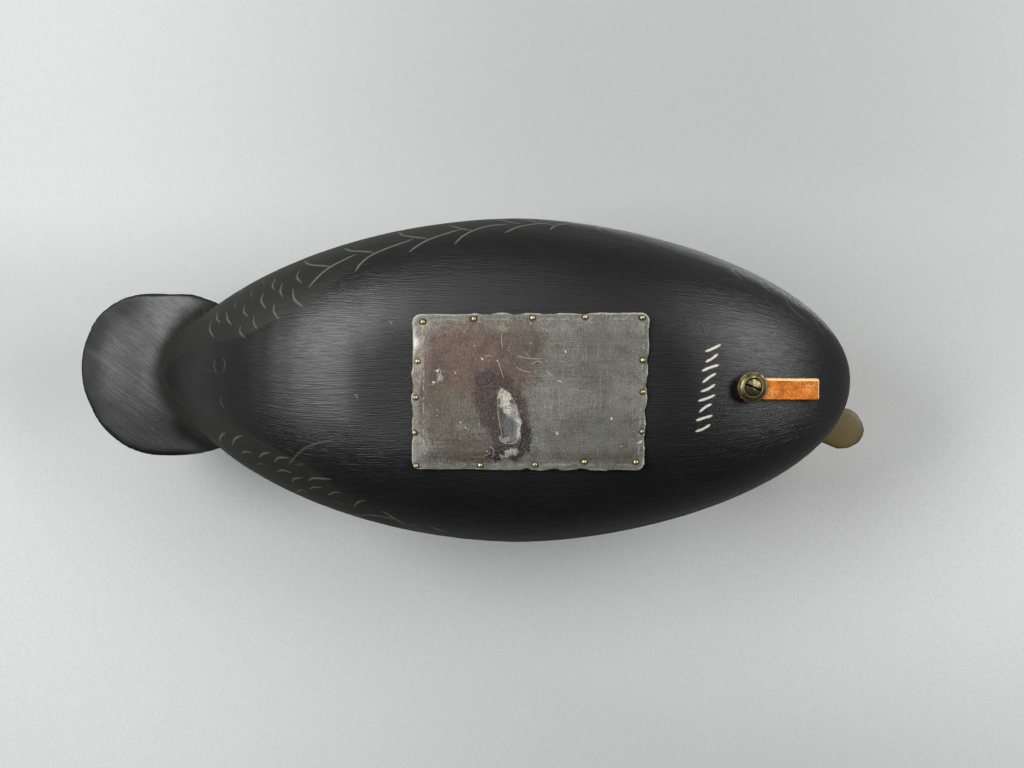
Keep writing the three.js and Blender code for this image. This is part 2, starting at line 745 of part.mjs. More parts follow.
const decoy = new THREE.Group();
decoy.name = "black_duck_decoy";
decoy.add(piece("body", body(), blackPaint));
decoy.add(piece("head", head(), headPaint));
decoy.add(piece("eye_left", mergedPlain(eyeBall(1, EYE.radius, 12)), eyeGlass));
decoy.add(piece("eye_right", mergedPlain(eyeBall(-1, EYE.radius, 12)), eyeGlass));
decoy.add(piece("ballast_plate", plate(), rolledLead));
tackPlaces().forEach((place, i) => {
  decoy.add(piece(`tack_${String(i + 1).padStart(2, "0")}`, tack(place), tackBrass));
});
decoy.add(piece("line_tie_strap", strap(), strapLeather));
decoy.add(piece("line_tie_washer", washer(), agedBrass));
decoy.add(piece("line_tie_screw", screw(), agedBrass));

export default decoy;
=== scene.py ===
"""A black duck decoy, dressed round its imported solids.

Everything is in the decoy's own frame: +X forward, +Y to its left, +Z up. The photograph looks
at the underside, so its camera stands below the decoy. Lengths are metres where Blender takes
them, and millimetres in arrays of points and in sizes whose comments say so.
"""

import logging
import math
from collections.abc import Iterator
from contextlib import contextmanager
from dataclasses import dataclass
from enum import Enum

import bpy
import numpy as np
from mathutils import Matrix, Vector, geometry, noise
from mathutils.bvhtree import BVHTree


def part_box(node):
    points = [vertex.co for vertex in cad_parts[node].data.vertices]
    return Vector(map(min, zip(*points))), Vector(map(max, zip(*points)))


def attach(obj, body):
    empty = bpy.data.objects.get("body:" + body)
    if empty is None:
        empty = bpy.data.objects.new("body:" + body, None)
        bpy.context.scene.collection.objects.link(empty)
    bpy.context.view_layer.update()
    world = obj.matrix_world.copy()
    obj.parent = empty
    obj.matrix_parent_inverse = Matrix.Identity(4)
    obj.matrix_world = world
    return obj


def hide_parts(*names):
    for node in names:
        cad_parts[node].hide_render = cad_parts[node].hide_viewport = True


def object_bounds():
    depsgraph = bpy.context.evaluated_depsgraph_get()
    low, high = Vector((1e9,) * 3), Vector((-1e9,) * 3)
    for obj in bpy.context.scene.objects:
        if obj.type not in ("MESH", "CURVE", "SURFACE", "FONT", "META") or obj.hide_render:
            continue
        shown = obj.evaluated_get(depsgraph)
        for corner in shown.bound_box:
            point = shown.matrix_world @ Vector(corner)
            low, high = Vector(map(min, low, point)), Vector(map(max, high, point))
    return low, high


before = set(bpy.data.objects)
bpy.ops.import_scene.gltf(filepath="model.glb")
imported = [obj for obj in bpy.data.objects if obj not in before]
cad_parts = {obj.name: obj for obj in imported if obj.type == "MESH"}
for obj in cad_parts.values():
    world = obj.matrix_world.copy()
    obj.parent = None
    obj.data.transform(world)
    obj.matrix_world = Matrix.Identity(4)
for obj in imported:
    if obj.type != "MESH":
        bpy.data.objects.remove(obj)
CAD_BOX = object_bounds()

Array = np.ndarray
Piece = bpy.types.Object
Socket = bpy.types.NodeSocket
Outputs = bpy.types.NodeOutputs
Finish = bpy.types.Material
Pair = tuple[float, float]
Triple = tuple[float, float, float]

MM = 0.001
ROOT = "root"
BOX_MARGIN = 0.01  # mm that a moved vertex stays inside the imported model's box
FAR = 99.0  # mm, stands for a distance too great to matter
log = logging.getLogger("decoy")


class Side(Enum):
    """A side of the duck, by the sign of its Y."""

    LEFT = 1
    RIGHT = -1


class Slot(Enum):
    """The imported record's material slots."""

    BLACK = "black_paint"
    HEAD = "head_paint"
    EYE = "eye_glass"
    LEAD = "rolled_lead"
    TACK = "tack_brass"
    LEATHER = "strap_leather"
    BRASS = "aged_brass"


class Brush(Enum):
    """What a painted line is drawn with, and the name of its attributes."""

    FEATHER = "feather"
    SCORE = "score"
    CHALK = "chalk"
    SCRATCH = "scratch"


def linear(colour: str) -> tuple[float, float, float, float]:
    """Turns an sRGB hex colour into linear light.

    Args:
        colour: Six hex digits after a hash sign.

    Returns:
        Linear red, green and blue, and an alpha of 1.
    """
    parts = [int(colour[i : i + 2], 16) / 255 for i in (1, 3, 5)]
    light = [c / 12.92 if c <= 0.04045 else ((c + 0.055) / 1.055) ** 2.4 for c in parts]
    return (light[0], light[1], light[2], 1.0)


def eased(values: Array, low: float, high: float) -> Array:
    """A smooth step from 0 at low to 1 at high, which may be the smaller of the two."""
    share = np.clip((values - low) / (high - low), 0, 1)
    return share * share * (3 - 2 * share)


def kept_inside(points: Array) -> Array:
    """Points in millimetres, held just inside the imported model's box."""
    low, high = (np.array(corner) / MM for corner in CAD_BOX)
    return np.clip(points, low + BOX_MARGIN, high - BOX_MARGIN)


# Pieces and their meshes


def only(piece: Piece) -> None:
    """Selects one object and makes it the active one."""
    bpy.ops.object.select_all(action="DESELECT")
    piece.select_set(True)
    bpy.context.view_layer.objects.active = piece


@contextmanager
def editing(piece: Piece) -> Iterator[None]:
    """Opens one object in edit mode with all of it selected, and closes it again."""
    only(piece)
    bpy.ops.object.mode_set(mode="EDIT")
    bpy.ops.mesh.select_all(action="SELECT")
    yield
    bpy.ops.object.mode_set(mode="OBJECT")


def applied(piece: Piece, kind: str, **settings: object) -> None:
    """Puts a modifier on an object and applies it.

    Args:
        piece: The object.
        kind: The modifier's type.
        **settings: The modifier's settings.
    """
    only(piece)
    modifier = piece.modifiers.new(kind.lower(), kind)
    for name, value in settings.items():
        setattr(modifier, name, value)
    bpy.ops.object.modifier_apply(modifier=modifier.name)


def merged_copy(node: str, name: str) -> Piece:
    """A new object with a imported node's shape, its loose triangles joined.

    Args:
        node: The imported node.
        name: The new object's name.

    Returns:
        The new object, at the origin.
    """
    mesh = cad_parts[node].data.copy()
    mesh.name = name
    mesh.materials.clear()
    piece = bpy.data.objects.new(name, mesh)
    bpy.context.scene.collection.objects.link(piece)
    with editing(piece):
        bpy.ops.mesh.customdata_custom_splitnormals_clear()
        bpy.ops.mesh.remove_doubles(threshold=0.01 * MM)
    return piece


def points_of(piece: Piece) -> Array:
    """The object's vertices in millimetres, one row each."""
    flat = np.empty(len(piece.data.vertices) * 3, np.float32)
    piece.data.vertices.foreach_get("co", flat)
    return flat.reshape(-1, 3).astype(float) / MM


def normals_of(piece: Piece) -> Array:
    """The object's vertex normals, one row each."""
    flat = np.empty(len(piece.data.vertices) * 3, np.float32)
    piece.data.vertex_normals.foreach_get("vector", flat)
    return flat.reshape(-1, 3).astype(float)


def move_points(piece: Piece, points: Array) -> None:
    """Puts an object's vertices at new places, given in millimetres."""
    piece.data.vertices.foreach_set("co", (points * MM).astype(np.float32).ravel())
    piece.data.update()


def store(piece: Piece, name: str, values: Array) -> None:
    """Keeps a number or a vector for each vertex, for the piece's material to read.

    Args:
        piece: The object.
        name: The attribute's name.
        values: One value or one row of three for each vertex.
    """
    plain = values.ndim == 1
    kind = "FLOAT" if plain else "FLOAT_VECTOR"
    attribute = piece.data.attributes.new(name, kind, "POINT")
    key = "value" if plain else "vector"
    attribute.data.foreach_set(key, values.astype(np.float32).ravel())


def wander(points: Array, size: float, seed: float) -> Array:
    """Soft noise between about -1 and 1 at each point, its hills so far apart in millimetres."""
    shift = Vector((seed, seed * 0.7, -seed))
    return np.array([noise.noise(Vector(p) / size + shift) for p in points])


def softened(piece: Piece, weights: Array, rounds: int) -> None:
    """Smooths a mesh, by a weight at each vertex.

    Args:
        piece: The object.
        weights: From 0, left as it is, to 1, smoothed in full.
        rounds: How many times the smoothing is repeated.
    """
    levels = 12
    group = piece.vertex_groups.new(name="soft")
    nearest = np.rint(weights * levels).astype(int)
    for level in range(1, levels + 1):
        group.add(np.flatnonzero(nearest == level).tolist(), level / levels, "REPLACE")
    applied(piece, "SMOOTH", factor=0.5, iterations=rounds, vertex_group=group.name)
    piece.vertex_groups.clear()


def surface_of(piece: Piece) -> BVHTree:
    """The object's surface, for rays and nearest points, in metres."""
    return BVHTree.FromObject(piece, bpy.context.evaluated_depsgraph_get())


def spread(piece: Piece, values: Array, rounds: int) -> Array:
    """Averages each vertex's value with its neighbours', again and again.

    Args:
        piece: The object.
        values: One value for each vertex.
        rounds: How many times.

    Returns:
        The values, spread out.
    """
    ends = np.empty(len(piece.data.edges) * 2, np.int32)
    piece.data.edges.foreach_get("vertices", ends)
    first, second = ends.reshape(-1, 2).T
    size = len(values)
    count = np.bincount(ends, minlength=size)
    for _ in range(rounds):
        around = np.bincount(first, values[second], size) + np.bincount(second, values[first], size)
        values = (values + around / count) / 2
    return values


def restored(piece: Piece, surface: BVHTree, rounds: int) -> None:
    """Moves a smoothed mesh back out to its old surface, on the average of each place.

    Args:
        piece: The object.
        surface: Its surface before it was smoothed.
        rounds: How widely the average is taken.
    """
    points, normals = points_of(piece), normals_of(piece)
    found = [surface.find_nearest(Vector(p) * MM)[0] for p in points]
    shortfall = ((np.array([tuple(f) for f in found]) / MM - points) * normals).sum(1)
    moved = points + normals * spread(piece, shortfall, rounds)[:, None]
    move_points(piece, kept_inside(moved))


def completed(piece: Piece, finish: Finish, node: str) -> None:
    """Shades a piece smooth, gives it its material and fixes it to the frame.

    Args:
        piece: The finished object.
        finish: Its material.
        node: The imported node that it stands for.
    """
    only(piece)
    bpy.ops.object.shade_smooth()
    piece.data.materials.clear()
    piece.data.materials.append(finish)
    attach(piece, ROOT)
    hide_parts(node)
    log.info("%s: %d faces, for %s", piece.name, len(piece.data.polygons), node)


def convex_outline(points: Array) -> Array:
    """The corners of the points' convex outline, seen from above, in order."""
    flat = [Vector((p[0], p[1])) for p in points]
    return points[geometry.convex_hull_2d(flat), :2]


def edges_of(outline: Array) -> list[tuple[Array, Array]]:
    """The two ends of each edge of a closed outline."""
    return list(zip(outline, np.roll(outline, -1, axis=0), strict=True))


def edge_distance(points: Array, edges: list[tuple[Array, Array]]) -> Array:
    """Each point's distance from the nearest of some edges, seen from above.

    Args:
        points: The points.
        edges: The two ends of each edge.

    Returns:
        One distance for each point.
    """
    nearest = np.full(len(points), FAR)
    for start, end in edges:
        span, offset = end - start, points[:, :2] - start
        share = np.clip((offset @ span) / (span @ span + 1e-9), 0, 1)
        away = np.linalg.norm(offset - share[:, None] * span, axis=1)
        nearest = np.minimum(nearest, away)
    return nearest


# The photograph's camera


@dataclass(frozen=True)
class Sight:
    """The photograph's camera: where it stands, and how a pixel becomes a ray."""

    columns: int = 1024
    rows: int = 768
    focal: float = 1280.0  # in pixels
    sensor: float = 36.0  # in millimetres
    place: Triple = (0.04386, -0.05693, -0.59027)
    pitch: float = math.radians(5.23)
    yaw: float = math.radians(5.0)
    roll: float = math.radians(0.26)

    def axes(self) -> tuple[Vector, Vector, Vector]:
        """The camera's directions.

        Returns:
            Right, up and ahead.
        """
        sp, cp = math.sin(self.pitch), math.cos(self.pitch)
        sy, cy = math.sin(self.yaw), math.cos(self.yaw)
        ahead = Vector((-sy, sp * cy, cp * cy))
        level = Vector((cy, sp * sy, cp * sy))
        upright = Vector((0, -cp, sp))
        right = level * math.cos(self.roll) + upright * math.sin(self.roll)
        up = upright * math.cos(self.roll) - level * math.sin(self.roll)
        return right, up, ahead

    def ray(self, column: float, row: float) -> Vector:
        """The direction that a pixel of the photograph looks in."""
        right, up, ahead = self.axes()
        across = (column - self.columns / 2) / self.focal
        down = (row - self.rows / 2) / self.focal
        return (ahead + right * across - up * down).normalized()

    def on_level(self, column: float, row: float, z: float = 0.0) -> Vector:
        """Where a pixel's ray meets a level plane, in metres."""
        direction = self.ray(column, row)
        start = Vector(self.place)
        return start + direction * ((z - start.z) / direction.z)

    def on_surface(self, tree: BVHTree, column: float, row: float, z: float) -> Vector:
        """Where a pixel's ray meets a surface, or the nearest place on it.

        Args:
            tree: The surface.
            column: The pixel's column.
            row: The pixel's row.
            z: The level at which to look for the nearest place if the ray misses.

        Returns:
            A point on the surface, in metres.
        """
        hit = tree.ray_cast(Vector(self.place), self.ray(column, row))[0]
        if hit is not None:
            return hit
        return tree.find_nearest(self.on_level(column, row, z))[0]

    def pixel_size(self) -> float:
        """How many millimetres one pixel spans on the level of the plate."""
        return (self.on_level(513, 384) - self.on_level(512, 384)).length / MM

    def build(self) -> None:
        """Makes the scene's camera."""
        right, up, ahead = self.axes()
        data = bpy.data.cameras.new("photograph")
        data.sensor_width = self.sensor
        data.lens = self.focal * self.sensor / self.columns
        camera = bpy.data.objects.new("photograph", data)
        turn = Matrix((right, up, -ahead)).transposed().to_4x4()
        camera.matrix_world = Matrix.Translation(self.place) @ turn
        bpy.context.scene.collection.objects.link(camera)
        bpy.context.scene.camera = camera


SIGHT = Sight()


# Materials


class Recipe:
    """A material's nodes, added one at a time."""

    def __init__(self, name: str, world: bpy.types.World | None = None) -> None:
        """Starts a material, or clears a world, so that only its output is left.

        Args:
            name: The material's name.
            world: The world to use in place of a new material.
        """
        self.material = world or bpy.data.materials.new(name)
        self.material.use_nodes = True
        self.tree = self.material.node_tree
        self.tree.nodes.clear()
        kind = "World" if world else "Material"
        self.output = self.tree.nodes.new("ShaderNodeOutput" + kind)

    def add(
        self, kind: str, inputs: dict[int | str, object] | None = None, **settings: object
    ) -> bpy.types.Node:
        """Adds a node with its settings, values and links.

        Args:
            kind: The node's type, without its usual first word.
            inputs: A value or another node's socket for each named or numbered input.
            **settings: The node's own settings.

        Returns:
            The node.
        """
        node = self.tree.nodes.new("ShaderNode" + kind)
        for name, value in settings.items():
            setattr(node, name, value)
        for key, value in (inputs or {}).items():
            if isinstance(value, Socket):
                self.tree.links.new(value, node.inputs[key])
            else:
                node.inputs[key].default_value = value
        return node

    def surface(self, shader: bpy.types.Node) -> Finish:
        """Links the last shader to the output, and gives the material back."""
        self.tree.links.new(shader.outputs[0], self.output.inputs["Surface"])
        return self.material

    def finished(
        self, look: dict[str, object], height: Socket, relief: float, strength: float = 1.0
    ) -> Finish:
        """Shades the surface, its relief in millimetres, and gives the material back."""
        bump = self.add("Bump", {"Strength": strength, "Distance": relief * MM, "Height": height})
        return self.surface(self.add("BsdfPrincipled", {**look, "Normal": bump.outputs[0]}))

    def streaks(self, place: Socket, along: float, across: float, detail: float = 3.0) -> Socket:
        """Long thin marks, as a brush, comb or roller leaves them.

        Args:
            place: Coordinates in millimetres, the marks running along their first.
            along: Length of a mark, in millimetres.
            across: Width of a mark, in millimetres.
            detail: How much finer marks show among them.

        Returns:
            A value from 0 to 1, about one half in the middle.
        """
        scale = (1 / along, 1 / across, 1 / across)
        stretched = self.add("Mapping", {"Vector": place, "Scale": scale}).outputs[0]
        return self.add("TexNoise", {"Vector": stretched, "Scale": 1.0, "Detail": detail}).outputs[0]

    def clouds(self, place: Socket, size: float, detail: float = 3.0, shift: float = 0.0) -> Socket:
        """Soft patches of one size, in millimetres, from 0 to 1."""
        moved = self.add("Mapping", {"Vector": place, "Location": (shift, -shift, shift)}).outputs[0]
        return self.add("TexNoise", {"Vector": moved, "Scale": 1 / size, "Detail": detail}).outputs[0]

    def stepped(self, value: Socket, low: object, high: object, top: float = 1.0) -> Socket:
        """A smooth step from 0 where the value is low to top where it is high."""
        limits = {"Value": value, "From Min": low, "From Max": high, "To Max": top}
        return self.add("MapRange", limits, interpolation_type="SMOOTHSTEP").outputs[0]

    def over(self, base: object, layer: object, share: object) -> Socket:
        """One colour laid over another, by a share. A plain colour is given in hex."""
        below, above = (linear(c) if isinstance(c, str) else c for c in (base, layer))
        return self.add("MixRGB", {"Fac": share, "Color1": below, "Color2": above}).outputs[0]

    def sum_of(self, kind: str, *values: object) -> Socket:
        """Arithmetic on two or three numbers or sockets, such as MULTIPLY or MAXIMUM."""
        return self.add("Math", dict(enumerate(values)), operation=kind).outputs[0]

    def times(self, first: object, second: object) -> Socket:
        """The product of two values, such as where two shares hold at once."""
        return self.sum_of("MULTIPLY", first, second)

    def scaled(self, value: object, factor: object, extra: object) -> Socket:
        """A value times a factor, and something more added."""
        return self.sum_of("MULTIPLY_ADD", value, factor, extra)

    def parts_of(self, name: str) -> Outputs:
        """The three numbers of a vector that the piece stores by that name."""
        vector = self.add("Attribute", attribute_name=name).outputs["Vector"]
        return self.add("SeparateXYZ", {0: vector}).outputs

    def millimetres(self) -> Socket:
        """The piece's own coordinates, which are the decoy's, in millimetres."""
        place = self.add("TexCoord").outputs["Object"]
        inputs = {"Vector": place, "Scale": (1 / MM, 1 / MM, 1 / MM)}
        return self.add("Mapping", inputs).outputs[0]

    def blot(
        self,
        place: Socket,
        centre: Vector,
        radii: Pair,
        turn: float = 0.0,
        soft: float = 0.5,
    ) -> Socket:
        """An oval patch on a level face.

        Args:
            place: Coordinates in millimetres, which noise may already have disturbed.
            centre: Its middle, in metres.
            radii: Its half length and half width, in millimetres.
            turn: How far its length is turned from +X, in radians.
            soft: The share of its radius over which it fades.

        Returns:
            1 inside the patch and 0 outside.
        """
        inputs = {0: place, 1: (centre.x / MM, centre.y / MM, 0)}
        moved = self.add("VectorMath", inputs, operation="SUBTRACT")
        inputs = {"Vector": moved.outputs[0], "Angle": -turn}
        turned = self.add("VectorRotate", inputs, rotation_type="Z_AXIS")
        scale = (1 / radii[0], 1 / radii[1], 0)
        shaped = self.add("VectorMath", {0: turned.outputs[0], 1: scale}, operation="MULTIPLY")
        reach = self.add("VectorMath", {0: shaped.outputs[0]}, operation="LENGTH")
        return self.stepped(reach.outputs["Value"], 1 + soft / 2, 1 - soft / 2)


@dataclass(frozen=True)
class LineLook:
    """How the painted lines of one brush look."""

    half_width: float  # mm
    soft: float = 0.22  # mm over which an edge fades
    taper: float = 5.0  # mm over which an end thins out


def painted_lines(
    mix: Recipe, brush: Brush, layers: int, look: LineLook, ragged: Socket
) -> Socket:
    """Draws one brush's lines from the attributes that Lining stores.

    Args:
        mix: The material.
        brush: Which brush.
        layers: How many attributes its lines fill.
        look: The lines' width and ends.
        ragged: Noise from 0 to 1 that makes the paint uneven.

    Returns:
        How much line colour covers a place.
    """
    covered: object = 0.0
    width = mix.scaled(ragged, look.half_width, look.half_width / 2)
    for layer in range(layers):
        parts = mix.parts_of(f"{brush.value}_{layer}")
        full = mix.stepped(parts["Y"], -0.3, look.taper)
        half = mix.times(width, mix.scaled(full, 0.6, 0.4))
        outer = mix.sum_of("ADD", half, look.soft)
        inner = mix.sum_of("SUBTRACT", half, look.soft)
        off_line = mix.sum_of("ABSOLUTE", parts["X"])
        line = mix.stepped(off_line, outer, inner)
        ended = mix.stepped(parts["Y"], -0.5, 0.5)
        shown = mix.times(line, mix.times(ended, parts["Z"]))
        covered = mix.sum_of("MAXIMUM", shown, covered)
    return covered


# Painted lines on a surface


@dataclass(frozen=True)
class Stroke:
    """One painted line: points on the surface in millimetres, and how strongly it shows."""

    line: Array
    strength: float


def curved(points: list[Vector], steps: int = 6) -> list[Vector]:
    """A smooth curve through a few points.

    Args:
        points: Three or more points.
        steps: How many pieces each span is cut into.

    Returns:
        The curve's points.
    """
    ends = [points[0] * 2 - points[1], *points, points[-1] * 2 - points[-2]]
    curve = []
    for a, b, c, d in zip(ends, ends[1:], ends[2:], ends[3:], strict=False):
        for step in range(steps):
            t = step / steps
            bend = (a * 2 - b * 5 + c * 4 - d) * t * t + (b * 3 - a - c * 3 + d) * t**3
            curve.append((b * 2 + (c - a) * t + bend) / 2)
    return [*curve, points[-1]]


def as_line(points: list[Vector]) -> Array:
    """Points in metres as rows in millimetres."""
    return np.array([tuple(p) for p in points]) / MM


def strokes_at(tree: BVHTree, marks: tuple, strength: float, level: float) -> list[Stroke]:
    """Carries lines read off the photograph over to a surface.

    Args:
        tree: The surface.
        marks: A few pixels along each line.
        strength: How strongly the lines show.
        level: Where to look for the surface beside its silhouette, in metres.

    Returns:
        The strokes.
    """
    strokes = []
    for mark in marks:
        hits = [SIGHT.on_surface(tree, *pixel, level) for pixel in mark]
        strokes.append(Stroke(as_line(curved(hits)), strength))
    return strokes


class Lining:
    """Turns strokes into attributes from which a material draws crisp lines.

    Each vertex near a stroke keeps how far it is beside the line, how far it is from the line's
    nearer end, and how strongly the line shows. Strokes that come close to each other go into
    different layers, so that each layer's numbers run on smoothly over the mesh.
    """

    def __init__(self, piece: Piece, reach: float = 5.0) -> None:
        """Reads the finished mesh of the piece that the lines are on.

        Args:
            piece: The object.
            reach: How far from a line its numbers are stored, in millimetres.
        """
        self.piece = piece
        self.reach = reach
        self.band = reach * 0.52  # where the numbers count
        self.apart = reach * 1.64  # the least gap between two strokes of one layer
        self.points = points_of(piece)
        self.normals = normals_of(piece)

    def layers_of(self, strokes: list[Stroke]) -> list[list[Stroke]]:
        """Shares strokes out so that no two of one layer come close to each other.

        Args:
            strokes: One brush's strokes.

        Returns:
            The layers.
        """
        layers: list[list[Stroke]] = []
        for stroke in strokes:
            for layer in layers:
                if all(self.gap(stroke, other) > self.apart for other in layer):
                    layer.append(stroke)
                    break
            else:
                layers.append([stroke])
        return layers

    @staticmethod
    def gap(first: Stroke, second: Stroke) -> float:
        """The least distance between two strokes' points, in millimetres."""
        away = first.line[:, None, :] - second.line[None, :, :]
        return float(np.sqrt((away**2).sum(2)).min())

    def lay(self, strokes: list[Stroke], brush: Brush) -> int:
        """Stores one brush's strokes.

        Args:
            strokes: The strokes.
            brush: The brush, which names the attributes.

        Returns:
            How many layers they took.
        """
        layers = self.layers_of(strokes)
        for number, layer in enumerate(layers):
            held = np.zeros((len(self.points), 3))
            held[:, 0] = self.reach
            nearest = np.full(len(self.points), self.reach)
            for stroke in layer:
                self.draw(stroke, held, nearest)
            store(self.piece, f"{brush.value}_{number}", held)
        return len(layers)

    def draw(self, stroke: Stroke, held: Array, nearest: Array) -> None:
        """Writes one stroke's numbers at the vertices near it.

        Args:
            stroke: The stroke.
            held: Beside, along and strength for each vertex, changed in place.
            nearest: Each vertex's distance from the nearest stroke so far, changed in place.
        """
        line = stroke.line
        low, high = line.min(0) - self.reach, line.max(0) + self.reach
        near = np.flatnonzero(((self.points > low) & (self.points < high)).all(1))
        spans = np.diff(line, axis=0)
        lengths = np.linalg.norm(spans, axis=1)
        starts = np.concatenate([[0], np.cumsum(lengths)])
        offset = self.points[near][:, None, :] - line[None, :-1, :]
        share = (offset * spans).sum(2) / (lengths**2)
        kept = np.clip(share, 0, 1)
        away = np.linalg.norm(offset - kept[..., None] * spans, axis=2)
        span = away.argmin(1)
        rows = np.arange(len(near))
        share = share[rows, span]
        last = len(spans) - 1
        share = np.where(span > 0, np.maximum(share, 0), share)
        share = np.where(span < last, np.minimum(share, 1), share)
        tangent = spans[span] / lengths[span][:, None]
        beside = np.cross(self.normals[near], tangent)
        beside /= np.linalg.norm(beside, axis=1)[:, None] + 1e-9
        off = (offset[rows, span] * beside).sum(1)
        along = starts[span] + share * lengths[span]
        distance = away[rows, span]
        use = distance < nearest[near]
        chosen = near[use]
        nearest[chosen] = distance[use]
        held[chosen, 0] = off[use]
        held[chosen, 1] = np.minimum(along, starts[-1] - along)[use]
        held[chosen, 2] = np.where(distance[use] < self.band, stroke.strength, 0)


# The body


@dataclass(frozen=True)
class PaintedWood:
    """Flat black paint brushed lengthwise on sanded cedar.

    The brush leaves fine ridges that catch the light, so the paint is dull but streaky. The
    body stores what this reads: grain and fan, the coordinates that the body and the tail were
    brushed along, and zones, which holds whether a place is on the tail board, how dull its
    paint is, and how far it is from the board's rim in millimetres.
    """

    dark: str = "#0b0b0b"
    light: str = "#1b1b1c"
    flank: str = "#1a1a17"
    tail: str = "#262626"
    feather: str = "#72716b"
    chalk: str = "#cbc7bb"
    roughness: Pair = (0.29, 0.47)  # on the ridges and between them
    matt: float = 0.16  # how much duller the flanks are
    ridge: float = 0.29  # mm, height of the brush ridges
    corner: Pair = (-185.0, 35.0)  # mm, middle of the painted shade in the corner where board meets rump
    corner_reach: Pair = (20, 11)  # mm
    underside: Pair = (101.0, 97.0)  # mm, levels between the board's two faces
    handled_across: Pair = (24.0, 8.0)  # mm, where thumbs dulled the rear rim
    handled_along: Pair = (-214.0, -232.0)  # mm

    def material(self, layers: dict[Brush, int]) -> Finish:
        """Mixes the paint.

        Args:
            layers: How many attributes each brush's lines fill.

        Returns:
            The material.
        """
        mix = Recipe("brushed_black_paint")
        zone = mix.parts_of("zones")
        place = mix.millimetres()
        axis = mix.add("SeparateXYZ", {0: place}).outputs
        along, combed = self.brush_marks(mix)
        ridges = mix.over(along, combed, zone["X"])
        mottle = mix.stepped(mix.clouds(place, 16, 3, 5.0), 0.6, 0.4, 0.6)
        # Painted shade: the board darkens towards its rim and in the corner where it meets the rump,
        # on its underside
        corner = mix.blot(place, Vector((*self.corner, 0)) * MM, self.corner_reach, 0.25, 0.9)
        below = mix.stepped(axis["Z"], *self.underside)
        corner = mix.times(corner, mix.times(zone["X"], below))
        board = mix.over(self.tail, self.light, mix.stepped(combed, 0.6, 0.4))
        rim_shade = mix.stepped(zone["Z"], 17, 2, 0.7)
        for share in (mottle, rim_shade, corner):
            board = mix.over(board, self.dark, share)
        wood = mix.over(self.dark, self.light, mix.stepped(ridges, 0.36, 0.7))
        matted = mix.sum_of("MINIMUM", zone["Y"], 1.0)
        wood = mix.over(wood, self.flank, mix.times(matted, 0.7))
        wood = mix.over(wood, board, zone["X"])
        # Painted shade along the rounded edge of the board's rim; the drifts are the paint's own
        rim_edge_shade = mix.stepped(zone["Z"], 1.3, 0.3)
        drifts = mix.stepped(mix.clouds(place, 34), 0.62, 0.3, 0.4)
        for share in (rim_edge_shade, drifts):
            wood = mix.over(wood, self.dark, share)
        ragged = mix.clouds(place, 2.2)
        lines = {
            Brush.SCORE: (self.dark, LineLook(0.45, soft=0.3)),
            Brush.FEATHER: (self.feather, LineLook(0.42, soft=0.5)),
            Brush.CHALK: (self.chalk, LineLook(0.5, soft=0.38, taper=1.5)),
        }
        for brush, (colour, look) in lines.items():
            shown = painted_lines(mix, brush, layers[brush], look, ragged)
            wood = mix.over(wood, colour, shown)
        low, high = self.roughness
        limits = {"From Min": 0.3, "From Max": 0.7, "To Min": high, "To Max": low}
        dull = mix.add("MapRange", {"Value": ridges, **limits}).outputs[0]
        board_mottle = mix.times(mottle, zone["X"])
        handled = self.handled(mix, axis, zone)
        extra = ((zone["Y"], self.matt), (board_mottle, 0.12), (handled, 0.24), (corner, 0.4))
        for where, more in extra:
            dull = mix.scaled(where, more, dull)
        height = mix.scaled(mix.clouds(place, 0.5, 2), 0.22, ridges)
        return mix.finished({"Base Color": wood, "Roughness": dull}, height, self.ridge)

    @staticmethod
    def brush_marks(mix: Recipe) -> tuple[Socket, Socket]:
        """The ridges of the brush, lengthwise on the body and slanting on the tail.

        Args:
            mix: The material.

        Returns:
            The body's ridges and the tail's, from 0 to 1.
        """
        grain = mix.add("Attribute", attribute_name="grain").outputs["Vector"]
        fan = mix.add("Attribute", attribute_name="fan").outputs["Vector"]
        broad = mix.times(mix.streaks(grain, 60, 3.2), 0.25)
        along = mix.scaled(mix.streaks(grain, 10, 0.55, 5.0), 0.75, broad)
        swept = mix.times(mix.streaks(fan, 34, 3.4, 6.0), 0.4)
        combed = mix.scaled(mix.streaks(fan, 12, 0.7, 4.0), 0.4, swept)
        return along, mix.sum_of("ADD", combed, 0.08)

    def handled(self, mix: Recipe, axis: Outputs, zone: Outputs) -> Socket:
        """The dull band along the tail's rear rim, on its right, where it was carried.

        Args:
            mix: The material.
            axis: The piece's coordinates in millimetres.
            zone: The parts of the stored zones.

        Returns:
            1 in the band and 0 outside.
        """
        share = mix.stepped(zone["Z"], 20, 2)
        across = mix.stepped(axis["Y"], *self.handled_across)
        along = mix.stepped(axis["X"], *self.handled_along)
        for limit in (across, zone["X"], along):
            share = mix.times(share, limit)
        return share


# Painted feather lines, read off the photograph: each is a few pixels along one stroke.
# The long ones are the flank feathers' lower edges and the short ones meet them.
FLANK_EDGES = (
    ((308.8, 287.1), (318.5, 276.4), (330.7, 266.7), (356.2, 254)),
    ((355.2, 271.8), (360.3, 264.2), (373.6, 254), (412.9, 239.2)),
    ((409.3, 251.9), (417.4, 245.8), (429.7, 239.2), (461, 229.2)),
    ((454.7, 243.9), (461, 237.5), (471.9, 231.1), (488.5, 226), (508.9, 223.9)),
    ((505, 232.8), (519.1, 226.7), (542, 223.5), (555.4, 225.2)),
    ((550.3, 229.9), (556.1, 225.4), (575.2, 223.5), (593.1, 224.8)),
    ((597.5, 228.6), (604.5, 226.7), (618.6, 228)), ((382.5, 511.2), (394, 518.2), (406.6, 525)),
    ((335.4, 510), (366, 515), (396.3, 519.2)), ((429.6, 526.1), (438, 529.4), (446.8, 531.8)),
)
